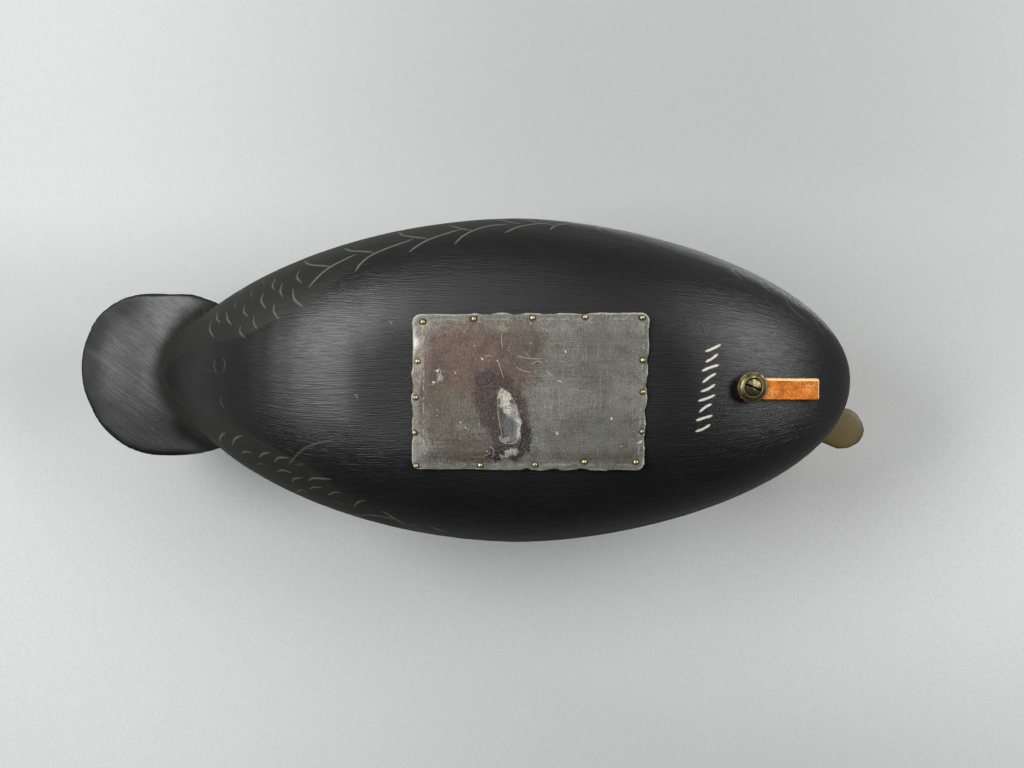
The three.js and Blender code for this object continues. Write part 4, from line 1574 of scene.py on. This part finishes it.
@dataclass(frozen=True)
class SheetLead:
    """Rolled sheet lead, dulled by water and scratched, its snipped edge hammered bright and given a
    painted highlight.
    """

    lead: str = "#6d6e64"
    dark: str = "#34322c"
    scratch: str = "#93938a"
    deep_scratch: str = "#bdbbb1"
    speck: str = "#d0cec4"
    # the lighter crease and outer edge: burnished lead with a painted highlight
    edge: str = "#b0afa6"
    worn: str = "#857b6f"
    white: str = "#c6c3b8"
    # a darker ring round each tack head
    grime: str = "#26231f"
    roughness: float = 0.42
    relief: float = 0.12  # mm
    speck_size: Pair = (0.55, 0.5)  # mm

    def material(self, scratches: int) -> Finish:
        """Mixes the lead, whose deep scratches fill the stated number of attributes."""
        return LeadRecipe(self).mixed(scratches)


class LeadRecipe(Recipe):
    """The lead's nodes, which share coordinates and noise."""

    def __init__(self, look: SheetLead) -> None:
        """Starts the material with what its layers share.

        Args:
            look: The lead's colours and sizes.
        """
        super().__init__("hammered_sheet_lead")
        self.look = look
        self.place = place = self.millimetres()
        self.axis = self.add("SeparateXYZ", {0: place}).outputs
        self.held = self.parts_of("border")
        self.grit = self.clouds(place, 0.55, 4)
        self.grain = self.sum_of("SUBTRACT", self.grit, 0.5)
        self.cloud = self.clouds(place, 21, 5)
        self.left = self.sum_of("ADD", self.stepped(self.axis["X"], 22.0, -6.0, 0.6), 0.4)
        drift = self.add("TexNoise", {"Vector": place, "Scale": 0.3, "Detail": 6.0})
        about = {0: drift.outputs["Color"], 1: (0.5, 0.5, 0.5)}
        shift = self.add("VectorMath", about, operation="SUBTRACT").outputs[0]
        pushed = {0: shift, 1: (6.5, 6.5, 0), 2: place}  # so that a stain's outline is uneven
        self.moved = self.add("VectorMath", pushed, operation="MULTIPLY_ADD").outputs[0]

    def mixed(self, scratches: int) -> Finish:
        """Mixes the lead's texture, stains, border and deep scratches.

        Args:
            scratches: How many attributes the deep scratches fill.

        Returns:
            The material.
        """
        look, grit = self.look, self.grit
        marks, metal = self.rolled()
        stained = {0: metal, 1: self.stains()}
        metal = self.add("VectorMath", stained, operation="MULTIPLY").outputs[0]
        chips = self.stepped(self.clouds(self.place, 1.3, 3, 23.0), 0.7, 0.76, 0.6)
        metal = self.over(metal, look.speck, self.times(chips, self.left))
        for speck in SPECKS:
            spot = self.blot(self.moved, SIGHT.on_level(*speck), look.speck_size)
            metal = self.over(metal, look.speck, self.times(spot, 0.7))
        metal = self.edged(metal)
        deep = painted_lines(self, Brush.SCRATCH, scratches, LineLook(0.13, 0.12, 2.0), grit)
        metal = self.over(metal, look.deep_scratch, deep)
        height = self.scaled(grit, 0.8, self.cloud)
        height = self.scaled(marks, -0.4, height)
        rough = self.sum_of("ADD", self.stepped(grit, 0.2, 0.8, 0.22), look.roughness)
        shown = {"Base Color": metal, "Metallic": 0.25, "Roughness": rough}
        return self.finished(shown, height, look.relief, 0.8)

    def layered(self, metal: object, layers: tuple[tuple[str, Socket], ...]) -> Socket:
        """Lays colours over the metal one by one, each by its share."""
        for colour, share in layers:
            metal = self.over(metal, colour, share)
        return metal

    def stains(self) -> Socket:
        """The stains as a tint, which keeps the metal's own texture under them.

        Returns:
            Each stain's colour as a share of the plain lead's.
        """
        scale, plain = SIGHT.pixel_size(), linear(self.look.lead)
        tint = (1.0, 1.0, 1.0, 1.0)
        for stain in STAINS:
            centre = SIGHT.on_level(stain.column, stain.row)
            radii = (stain.radii[0] * scale, stain.radii[1] * scale)
            patch = self.blot(self.moved, centre, radii, stain.turn, stain.soft)
            grainy = self.stepped(self.scaled(self.grain, 2.8, patch), 0.15, 0.85)
            ratio = tuple(c / p for c, p in zip(linear(stain.colour), plain, strict=True))
            tint = self.over(tint, ratio, self.times(grainy, stain.share))
        return tint

    def rolled(self) -> tuple[Socket, Socket]:
        """The grey metal with its mottle, bloom, grit and fine crossed scratches.

        Returns:
            How much of a fine scratch is at each place, and the colour.
        """
        place, left = self.place, self.left
        quarter = {"Vector": place, "Angle": 1.54}
        crossing = self.add("VectorRotate", quarter, rotation_type="Z_AXIS").outputs[0]
        lengthwise = self.streaks(place, 16, 0.34, 2.0)
        crosswise = self.streaks(crossing, 13, 0.34, 2.0)
        raised = (self.stepped(lengthwise, 0.55, 0.72), self.stepped(crosswise, 0.57, 0.74))
        sunk = (self.stepped(lengthwise, 0.45, 0.28), self.stepped(crosswise, 0.43, 0.26))
        marks, dips = self.sum_of("MAXIMUM", *raised), self.sum_of("MAXIMUM", *sunk)
        patchy = self.stepped(self.clouds(place, 9, 3, 7.0), 0.3, 0.7, 0.7)
        mottle = self.streaks(crossing, 1.6, 0.75, 5.0)
        bloom = self.clouds(place, 5.5, 6, 17.0)
        pale, dark = self.look.scratch, self.look.dark
        layers = (
            (dark, self.stepped(self.cloud, 0.45, 0.8, 0.5)),
            (pale, self.times(self.stepped(mottle, 0.48, 0.34, 0.3), left)),
            (dark, self.times(self.stepped(mottle, 0.52, 0.66, 0.55), left)),
            (dark, self.stepped(bloom, 0.5, 0.68, 0.34)),
            (pale, self.stepped(bloom, 0.46, 0.3, 0.14)),
            (pale, self.times(marks, patchy)),
            (dark, self.times(dips, patchy)),
            (dark, self.stepped(self.grit, 0.5, 0.68, 0.7)),
            (pale, self.stepped(self.grit, 0.42, 0.28, 0.48)),
        )
        return marks, self.layered(self.look.lead, layers)

    def edged(self, metal: Socket) -> Socket:
        """The lighter crease inside the border and the bright edge, partly burnished and partly
        painted highlight, the worn rear border, and a darker ring round each tack.

        Args:
            metal: The colour so far.

        Returns:
            The colour with its border.
        """
        look, axis, held = self.look, self.axis, self.held
        ragged = self.clouds(self.place, 2.6)
        crease = self.stepped(self.sum_of("ABSOLUTE", held["Z"]), 0.7, 0.1, 0.3)
        inward = self.scaled(ragged, -1.6, held["X"])
        wide = self.sum_of("ADD", self.stepped(axis["Y"], 30.0, -20.0, 3.0), 2.2)
        band = self.stepped(self.sum_of("SUBTRACT", inward, wide), 0.3, -0.6)
        band = self.times(band, self.stepped(axis["X"], -46.5, -50.0))
        rubbed = self.stepped(self.clouds(self.place, 7, 5, 3.0), 0.42, 0.62)
        whitened = self.times(band, self.stepped(axis["Y"], -6.0, -20.0, 0.9))
        # Darker in a ring round each tack head
        grime = self.scaled(self.grain, 1.6, held["Y"])
        layers = (
            # The crease line and the outer edge are lighter: burnished lead, with a painted highlight
            # over it
            (look.edge, self.times(crease, self.stepped(ragged, 0.45, 0.6))),
            (look.worn, self.times(band, self.stepped(self.grit, 0.66, 0.42, 0.7))),
            (look.white, self.times(rubbed, whitened)),
            (look.edge, self.stepped(inward, 0.3, -0.6, 0.8)),
            (look.grime, self.stepped(grime, 2.0, 1.1, 0.8)),
        )
        return self.layered(metal, layers)


@dataclass
class Plate:
    """The lead plate, snipped by hand and hammered down at its border. Millimetres."""

    voxel: float = 0.6
    rounds: int = 60  # of smoothing
    border: float = 3.3  # how far in the hammer went
    rear_border: float = 3.0  # how much further it went at the rear
    step: float = 6.6  # how far in the border meets the flat
    dimple: float = 0.17  # depth of a hammer mark
    pucker: float = 0.16  # how far the lead is drawn in by a tack
    scar_depth: float = 0.35
    scar_lip: float = 0.12
    scar_size: Pair = (4.4, 12.5)  # half width and half length
    scar_turn: float = -0.19  # radians from +Y
    least: float = 0.004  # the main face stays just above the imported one

    def build(self) -> None:
        """Makes the piece and fixes it to the frame."""
        piece = merged_copy("ballast_plate", "lead_plate")
        applied(piece, "REMESH", mode="VOXEL", voxel_size=self.voxel * MM)
        inside = self.from_edge(points_of(piece))
        surface = surface_of(piece)
        softened(piece, 0.25 + 0.75 * eased(inside, 0.5, 3), self.rounds)
        restored(piece, surface, 40)
        softened(piece, np.exp(-(((inside - self.step) / 2.2) ** 2)), 2 * self.rounds)
        points = points_of(piece)
        below = eased(normals_of(piece)[:, 2], 0.1, -0.5)
        crease = self.border + self.rear_border * eased(points[:, 0], -44, -50)
        struck = self.blows(points) * eased(inside, crease + 0.5, crease - 0.7)
        struck += 0.12 * (wander(points, 26, 1.9) + 0.5)
        tack = self.from_tack(points)
        struck += self.scar(points) + self.pucker * np.exp(-((tack / 1.9) ** 2))
        points[:, 2] = np.maximum(points[:, 2] + struck * below, self.least)
        points[:, :2] -= self.ragged(points, inside)
        move_points(piece, points)
        store(piece, "border", np.stack((inside, tack, inside - crease), 1))
        tree = surface_of(piece)
        rim = (*SCAR_RIM, SCAR_RIM[0])
        strokes = strokes_at(tree, (rim[:5], rim[4:9], rim[8:]), 0.5, 0.0)
        strokes += strokes_at(tree, SCRATCHES, 0.6, 0.0)
        layers = Lining(piece, 2.6).lay(strokes, Brush.SCRATCH)
        completed(piece, SheetLead().material(layers), "ballast_plate")

    def from_edge(self, points: Array) -> Array:
        """Each point's distance in from the plate's outline."""
        self.outline = convex_outline(points)
        return edge_distance(points, edges_of(self.outline))

    def from_tack(self, points: Array) -> Array:
        """Each point's distance from the nearest tack's middle.

        Args:
            points: The points.

        Returns:
            The distances.
        """
        nearest = np.full(len(points), FAR)
        for number in range(1, Tacks.count + 1):
            place = middle(f"tack_{number:02d}") / MM
            away = np.hypot(points[:, 0] - place.x, points[:, 1] - place.y)
            nearest = np.minimum(nearest, away)
        return nearest

    def blows(self, points: Array) -> Array:
        """Overlapping round hammer marks, from 0 to the dimples' depth."""
        flat = points * (1, 1, 0)
        return self.dimple * (0.6 + wander(flat, 3.4, 4.4) + 0.4 * wander(flat, 1.5, 9.1))

    def scar(self, points: Array) -> Array:
        """A tear-shaped dent with a raised lip, where something struck the sheet.

        Args:
            points: The points.

        Returns:
            How deep it is at each.
        """
        centre = np.array(SIGHT.on_level(*SCAR)) / MM
        offset = points[:, :2] - centre[:2]
        turn, tilt = math.cos(self.scar_turn), math.sin(self.scar_turn)
        across = offset[:, 0] * turn + offset[:, 1] * tilt
        along = offset[:, 1] * turn - offset[:, 0] * tilt
        reach = np.hypot(across / self.scar_size[0], along / self.scar_size[1])
        lip = np.exp(-(((reach - 1.05) / 0.12) ** 2))
        return self.scar_depth * eased(reach, 1.0, 0.7) - self.scar_lip * lip

    def ragged(self, points: Array, inside: Array) -> Array:
        """How far the snipped edge is drawn in.

        Args:
            points: The points.
            inside: Their distances in from the outline.

        Returns:
            A flat vector for each.
        """
        centre = self.outline.mean(0)
        outward = points[:, :2] - centre
        outward /= np.linalg.norm(outward, axis=1)[:, None] + 1e-9
        flat = points * (1, 1, 0)
        waves = 0.2 * (0.6 + wander(flat, 2.1, 6.6)) + 0.5 * (0.45 + wander(flat, 8.5, 2.7))
        depth = np.maximum(waves, 0) * eased(inside, 3.0, 0.2)
        return outward * depth[:, None]


# The tacks


@dataclass(frozen=True)
class Brass:
    """Brass, bright where it is rubbed, with painted shade making its hollows dark brown."""

    name: str
    bright: str
    dull: str
    roughness: float
    grain: float  # mm, size of the tarnish patches
    share: float = 0.7
    hollow_shade: str = "#171510"  # painted shade in the hollows of the pieces that store where they are

    def material(self) -> Finish:
        """Mixes the brass.

        Returns:
            The material.
        """
        mix = Recipe(self.name)
        place = mix.millimetres()
        tarnish = mix.clouds(place, self.grain, 5)
        pits = mix.clouds(place, self.grain / 4, 3)
        cover = mix.stepped(tarnish, 0.38, 0.68, self.share)
        metal = mix.over(self.bright, self.dull, cover)
        # Painted shade in the hollows that the piece stores
        hollow = mix.add("Attribute", attribute_name="hollow").outputs["Fac"]
        metal = mix.over(metal, self.hollow_shade, hollow)
        rough = mix.scaled(cover, 0.25, self.roughness)
        look = {"Base Color": metal, "Metallic": 1.0, "Roughness": rough}
        return mix.finished(look, pits, 0.03, 0.6)


@dataclass
class Tacks:
    """Sixteen small brass tacks, each driven a little differently. Millimetres."""

    count: int = 16
    sides: int = 20
    lean: float = math.radians(7)
    rise: float = 0.75  # height of a head

    def build(self) -> None:
        """Makes every tack and fixes it to the frame."""
        finish = Brass("tack_brass", "#c9b98c", "#665736", 0.4, 1.1, 0.75).material()
        chance = np.random.default_rng(16)
        for number in range(1, self.count + 1):
            node = f"tack_{number:02d}"
            low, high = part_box(node)
            radius = (high.x - low.x) / 2 / MM
            seat = Vector(((low.x + high.x) / 2, (low.y + high.y) / 2, low.z + self.rise * MM))
            tip, turn = chance.uniform(-self.lean, self.lean, 2)
            aim = Vector((math.sin(tip), math.sin(turn), -1)).normalized()
            piece = turned(f"brass_{node}", self.profile(radius), self.sides, facing(seat, aim))
            points = points_of(piece)
            points[:, 2] = np.maximum(points[:, 2], low.z / MM)
            move_points(piece, points)
            completed(piece, finish, node)

    def profile(self, radius: float) -> tuple[Pair, ...]:
        """A domed head with a thin edge, and the top of its shank."""
        turns = np.linspace(1.48, 0, 7)
        dome = [(radius * math.sin(a), self.rise * math.cos(a) ** 0.8) for a in turns]
        return ((0.0, -0.9), (0.45, -0.9), (0.5, -0.12), (radius * 0.96, -0.08), *dome)


# The line tie

TIE_LEVEL = 0.004  # m, about where the strap and the washer are seen


@dataclass(frozen=True)
class StrapLeather:
    """Orange-brown harness leather, its cut edges pale and its face scuffed."""

    body: str = "#ca701a"
    deep: str = "#97500a"
    scuff: str = "#dc9c5c"
    edge: str = "#f0cb8c"
    roughness: float = 0.7
    rubs: tuple = (((772, 393), (3.4, 2.2)), ((813, 390), (2.4, 3.4)))  # pixels, and radii in mm

    def material(self) -> Finish:
        """Mixes the leather from its place across the strap.

        Returns:
            The material.
        """
        mix = Recipe("orange_strap_leather")
        place = mix.millimetres()
        part = mix.parts_of("strap")
        pores = mix.clouds(place, 0.75, 5)
        patches = mix.clouds(place, 5, 5)
        hide = mix.over(self.body, self.deep, mix.stepped(patches, 0.45, 0.7))
        hide = mix.over(hide, self.deep, mix.stepped(pores, 0.5, 0.66, 0.85))
        hide = mix.over(hide, self.scuff, mix.stepped(pores, 0.44, 0.3, 0.55))
        noise_at = mix.add("TexNoise", {"Vector": place, "Scale": 0.5}).outputs["Color"]
        inputs = {0: noise_at, 1: (3, 3, 0), 2: place}
        ragged = mix.add("VectorMath", inputs, operation="MULTIPLY_ADD").outputs[0]
        drift = Vector((1.5, 1.5, 0)) * MM  # by which the noise moves a patch on average
        for pixel, radii in self.rubs:
            patch = mix.blot(ragged, SIGHT.on_level(*pixel, TIE_LEVEL) + drift, radii, soft=1.3)
            rubbed = mix.times(patch, mix.stepped(pores, 0.62, 0.38, 0.8))
            hide = mix.over(hide, self.scuff, rubbed)
        fray = mix.clouds(place, 1.6)
        inward = mix.scaled(fray, -0.5, part["X"])
        bright = mix.scaled(part["Y"], -0.42, 0.45)
        cut = mix.stepped(mix.sum_of("SUBTRACT", inward, bright), 0.32, -0.12)
        hide = mix.over(hide, self.edge, cut)
        look = {"Base Color": hide, "Roughness": self.roughness, "Specular IOR Level": 0.25}
        return mix.finished(look, pores, 0.1, 0.8)


@dataclass
class LineTie:
    """The folded leather strap, with the cup washer and the screw that hold it. Millimetres."""

    voxel: float = 0.28
    corner: float = 1.8  # radius of the strap's worn corners
    washer_radius: float = 7.25
    washer_height: float = 2.0
    head_radius: float = 4.05
    crown: float = 2.75
    slot_width: float = 0.95
    slot_depth: float = 0.9
    slot_ends: tuple[Pair, Pair] = ((750.8, 384.8), (760.4, 388.7))

    def build(self) -> None:
        """Makes the three pieces and fixes them to the frame."""
        self.cut_strap()
        self.find_axis()
        finish = Brass("aged_washer_brass", "#857b5c", "#4a422c", 0.42, 3.2, 0.85).material()
        washer = turned("cup_washer", self.cup(), 96, facing(self.foot, self.out))
        points = points_of(washer)
        move_points(washer, points + normals_of(washer) * (0.05 * wander(points, 2.4, 2.2))[:, None])
        reach, height, _ = self.round_axis(points)
        # Painted shade: the washer is darker in its cup and in a ring just inside its rim
        cup = eased(reach, 4.75, 4.3) * eased(height, 2.1, 1.2)
        foot = 0.5 * np.exp(-(((reach - 6.3) / 0.25) ** 2)) * (height > 0.7)
        store(washer, "hollow", np.maximum(0.9 * cup, foot))
        completed(washer, finish, "line_tie_washer")
        self.drive_screw()

    def find_axis(self) -> None:
        """Finds the washer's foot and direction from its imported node."""
        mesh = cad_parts["line_tie_washer"].data
        points = np.array([tuple(v.co) for v in mesh.vertices])
        centre = points.mean(0)
        out = np.linalg.svd(points - centre, full_matrices=False)[2][2]
        out = out if out[2] < 0 else -out
        heights = (points - centre) @ out
        self.out = Vector(out)
        self.foot = Vector(centre + out * heights.min())

    def round_axis(self, points: Array) -> tuple[Array, Array, Array]:
        """Where each point is round the screw's axis.

        Args:
            points: The points.

        Returns:
            Its distance from the axis, its height over the foot, and its offset.
        """
        offset = points - np.array(self.foot) / MM
        out = np.array(self.out)
        height = offset @ out
        flat = offset - height[:, None] * out
        return np.linalg.norm(flat, axis=1), height, flat

    def cup(self) -> tuple[Pair, ...]:
        """The cup washer's profile, from its bore out, over its rim and back into the cup.

        Returns:
            Radius and height of each corner.
        """
        radius, height = self.washer_radius, self.washer_height
        rim = arc((radius - 0.35, 0.55), 0.33, -math.pi / 2, math.pi / 2, 7)
        cone = ((6.25, 0.92), (5.9, 1.25), (5.4, 1.62), (4.95, 1.84))
        roll = arc((4.55, height - 0.28), 0.28, 1.1, math.pi, 6)
        return ((2.4, 0.0), *rim, *cone, *roll, (4.2, 1.1), (2.9, 0.55), (2.4, 0.45), (2.4, 0.0))

    def drive_screw(self) -> None:
        """Turns the screw and saws its slot."""
        top = self.crown
        crown = arc((self.head_radius - 0.12, 1.9), 0.12, -0.9, 1.2, 5)
        shares = (0.95, 0.8, 0.6, 0.4, 0.2, 0)
        dome = [(3.7 * f, 2.08 + (top - 2.08) * math.cos(f * math.pi / 2)) for f in shares]
        profile = ((0.0, -9.0), (1.6, -8.0), (1.75, -1.0), (1.75, 0.35), *crown, *dome)
        place = facing(self.foot, self.out)
        screw = turned("slotted_screw", profile, 64, place)
        first, last = (SIGHT.on_level(*pixel, TIE_LEVEL) for pixel in self.slot_ends)
        heading = last - first
        heading -= self.out * heading.dot(self.out)
        heading.normalize()
        side = self.out.cross(heading)
        bottom = self.foot + self.out * (top - self.slot_depth + 5) * MM
        bpy.ops.mesh.primitive_cube_add(size=1)
        saw = bpy.context.object
        size = Matrix.Diagonal((20 * MM, self.slot_width * MM, 10 * MM, 1))
        turn = Matrix((heading, side, self.out)).transposed().to_4x4()
        saw.data.transform(Matrix.Translation(bottom) @ turn @ size)
        applied(screw, "BOOLEAN", operation="DIFFERENCE", object=saw, solver="EXACT")
        bpy.data.objects.remove(saw)
        applied(screw, "BEVEL", width=0.09 * MM, segments=2, limit_method="ANGLE", angle_limit=0.7)
        reach, height, flat = self.round_axis(points_of(screw))
        # Painted shade: the screw is darker in its slot and round the edge of its head
        in_slot = eased(np.abs(flat @ np.array(side)), self.slot_width / 2 + 0.12, self.slot_width / 2)
        in_slot *= (height < top - 0.12) & (height > 1)
        rim = 0.8 * eased(reach, self.head_radius - 0.5, self.head_radius)
        store(screw, "hollow", np.maximum(in_slot, rim))
        finish = Brass("worn_screw_brass", "#7c7154", "#2e2919", 0.36, 2.6, 0.9).material()
        completed(screw, finish, "line_tie_screw")

    def cut_strap(self) -> None:
        """Rounds the strap's worn corners and marks its edges."""
        piece = merged_copy("line_tie_strap", "leather_strap")
        applied(piece, "REMESH", mode="VOXEL", voxel_size=self.voxel * MM)
        softened(piece, np.ones(len(piece.data.vertices)), 5)
        points = points_of(piece)
        centre = convex_outline(points).mean(0)
        offset = points[:, :2] - centre
        lengthwise = np.linalg.svd(offset - offset.mean(0), full_matrices=False)[2][0]
        lengthwise *= np.sign(lengthwise[0])
        across = np.array((-lengthwise[1], lengthwise[0]))
        along, beside = offset @ lengthwise, offset @ across
        far, wide = along.max(), np.abs(beside).max()
        over_x = np.clip(along - (far - self.corner), 0, None)
        over_y = np.clip(np.abs(beside) - (wide - self.corner), 0, None)
        reach = np.hypot(over_x, over_y)
        shrink = np.where(reach > self.corner, self.corner / np.maximum(reach, 1e-6), 1)
        along = along - over_x * (1 - shrink)
        beside = beside - np.sign(beside) * over_y * (1 - shrink)
        points[:, :2] = centre + along[:, None] * lengthwise + beside[:, None] * across
        crumple = 0.09 * (wander(points, 1.5, 3.7) + 0.8 * wander(points, 5, 1.1) - 0.8)
        move_points(piece, points + normals_of(piece) * crumple[:, None])
        from_end = np.minimum(far - along, FAR)
        edge = np.minimum(wide - np.abs(beside), from_end)
        store(piece, "strap", np.stack((edge, beside / wide, from_end), 1))
        completed(piece, StrapLeather().material(), "line_tie_strap")


# The studio


@dataclass(frozen=True)
class Lamp:
    """A soft light: where it stands, what it aims at, its size and its power."""

    name: str
    place: Triple
    size: float
    power: float
    aim: Triple = (0.0, 0.0, 0.06)

    def build(self) -> None:
        """Hangs the light."""
        data = bpy.data.lights.new(self.name, "AREA")
        data.shape = "DISK"
        data.size = self.size
        data.energy = self.power
        lamp = bpy.data.objects.new(self.name, data)
        ahead = Vector(self.aim) - Vector(self.place)
        lamp.matrix_world = facing(Vector(self.place), -ahead)
        bpy.context.scene.collection.objects.link(lamp)


@dataclass(frozen=True)
class PaperSheet:
    """A pale studio sheet that shows from one side only and throws no light back."""

    name: str
    level: float
    faces_up: bool
    tone: str
    dark: str
    shade: float = 0.0  # how strong a faint band of shade is, which lies along the decoy
    glow: float = 0.0  # how strong a painted patch of light is, beyond the breast
    shaded: str = "#888b8a"
    glowing: str = "#fafbfa"
    fleck: str = "#8c8d8c"
    glow_pixel: Pair = (850.0, 480.0)
    glow_reach: Pair = (0.15, 0.105)
    half: float = 6.0

    def build(self) -> None:
        """Lays the sheet."""
        bpy.ops.mesh.primitive_plane_add(size=self.half * 2)
        sheet = bpy.context.object
        sheet.name = self.name
        if not self.faces_up:
            with editing(sheet):
                bpy.ops.mesh.flip_normals()
        sheet.data.transform(Matrix.Translation((0, 0, self.level)))
        sheet.data.materials.append(self.material())
        for ray in ("diffuse", "glossy", "transmission", "volume_scatter", "shadow"):
            setattr(sheet, "visible_" + ray, False)

    def material(self) -> Finish:
        """Paper with uneven light and shade painted into its colour, which isn't there from behind.

        Returns:
            The material.
        """
        mix = Recipe(self.name + "_paper")
        place = mix.add("TexCoord").outputs["Object"]
        axis = mix.add("SeparateXYZ", {0: place}).outputs
        # Painted shade: the paper darkens towards the middle of the sheet and towards -Y
        aside = mix.sum_of("ABSOLUTE", mix.sum_of("SUBTRACT", axis["X"], 0.07))
        across = mix.stepped(aside, 0.38, 0.04, 0.5)
        slope = mix.sum_of("ADD", across, mix.stepped(axis["Y"], 0.17, -0.17, 0.45))
        paper = mix.over(self.tone, self.dark, slope)
        # A painted band of shade along the decoy
        off_line = mix.sum_of("ABSOLUTE", mix.sum_of("ADD", axis["Y"], 0.02))
        band = mix.stepped(off_line, 0.085, 0.015, self.shade)
        paper = mix.over(paper, self.shaded, band)
        # A painted patch of light beyond the breast
        centre = SIGHT.on_level(*self.glow_pixel, self.level) * MM  # because place is in metres
        patch = mix.blot(place, centre, self.glow_reach, soft=1.6)
        patch = mix.times(patch, self.glow)
        paper = mix.over(paper, self.glowing, patch)
        fleck = mix.add("TexNoise", {"Vector": place, "Scale": 900.0, "Detail": 2.0}).outputs[0]
        paper = mix.over(paper, self.fleck, mix.stepped(fleck, 0.35, 0.75, 0.14))
        lit = mix.add("BsdfDiffuse", {"Color": paper})
        clear = mix.add("BsdfTransparent")
        behind = mix.add("NewGeometry").outputs["Backfacing"]
        shader = mix.add("MixShader", {0: behind, 1: lit.outputs[0], 2: clear.outputs[0]})
        return mix.surface(shader)


@dataclass(frozen=True)
class Air:
    """The light that comes from all round, by its direction.

    From above the decoy comes the glow of a pale table top, on which it was laid upside down.
    From below comes the room, which is darker on the side where the photographer stood.
    """

    table: str = "#abacab"
    dim_table: str = "#7c7d7c"
    room: str = "#3c3d3e"
    shade: str = "#0c0c0d"

    def build(self) -> None:
        """Makes the world."""
        world = bpy.data.worlds.new("studio_air")
        bpy.context.scene.world = world
        mix = Recipe(world.name, world)
        place = mix.add("TexCoord").outputs["Generated"]
        axis = mix.add("SeparateXYZ", {0: place}).outputs
        lower = mix.over(self.room, self.shade, mix.stepped(axis["Y"], -0.6, 0.45))
        across = mix.scaled(axis["X"], 0.7, axis["Y"])
        upper = mix.over(self.table, self.dim_table, mix.stepped(across, -0.6, 0.5))
        light = mix.over(lower, upper, mix.stepped(axis["Z"], -0.12, 0.12))
        mix.surface(mix.add("Background", {"Color": light, "Strength": 1.0}))


@dataclass
class Studio:
    """The sheets, the lights and the air round the decoy."""

    lamps: tuple[Lamp, ...] = (
        Lamp("window_behind_tail", (-0.68, -0.25, -0.78), 0.7, 12.5),
        Lamp("window_ahead", (0.85, -0.23, -0.62), 0.65, 5.4),
        Lamp("window_ahead_above", (0.75, -0.45, -0.65), 0.6, 4.2),
        Lamp("window_over_shoulder", (-0.35, -0.62, -0.80), 0.7, 2.0),
        Lamp("key_above", (-0.12, 0.12, 1.4), 0.7, 13.0),
        Lamp("fill_above", (0.3, -0.35, 1.35), 0.7, 4.0),
    )
    sheets: tuple[PaperSheet, ...] = (
        PaperSheet("studio_floor", 0.0, True, "#d6d7d6", "#c8c9c8"),
        PaperSheet("studio_backdrop", 0.1785, False, "#d9dbda", "#acaead", 0.24, 0.46),
    )

    def build(self) -> None:
        """Sets up everything but the camera."""
        Air().build()
        for lamp in self.lamps:
            lamp.build()
        for sheet in self.sheets:
            sheet.build()
        bpy.context.scene.view_settings.view_transform = "Standard"


def main() -> None:
    """Builds the decoy piece by piece, then its stage."""
    logging.basicConfig(level=logging.INFO, format="%(message)s")
    for part in (Body(), Head(), Plate(), Tacks(), LineTie(), Studio()):
        part.build()
    SIGHT.build()


if __name__ == "__main__":
    main()
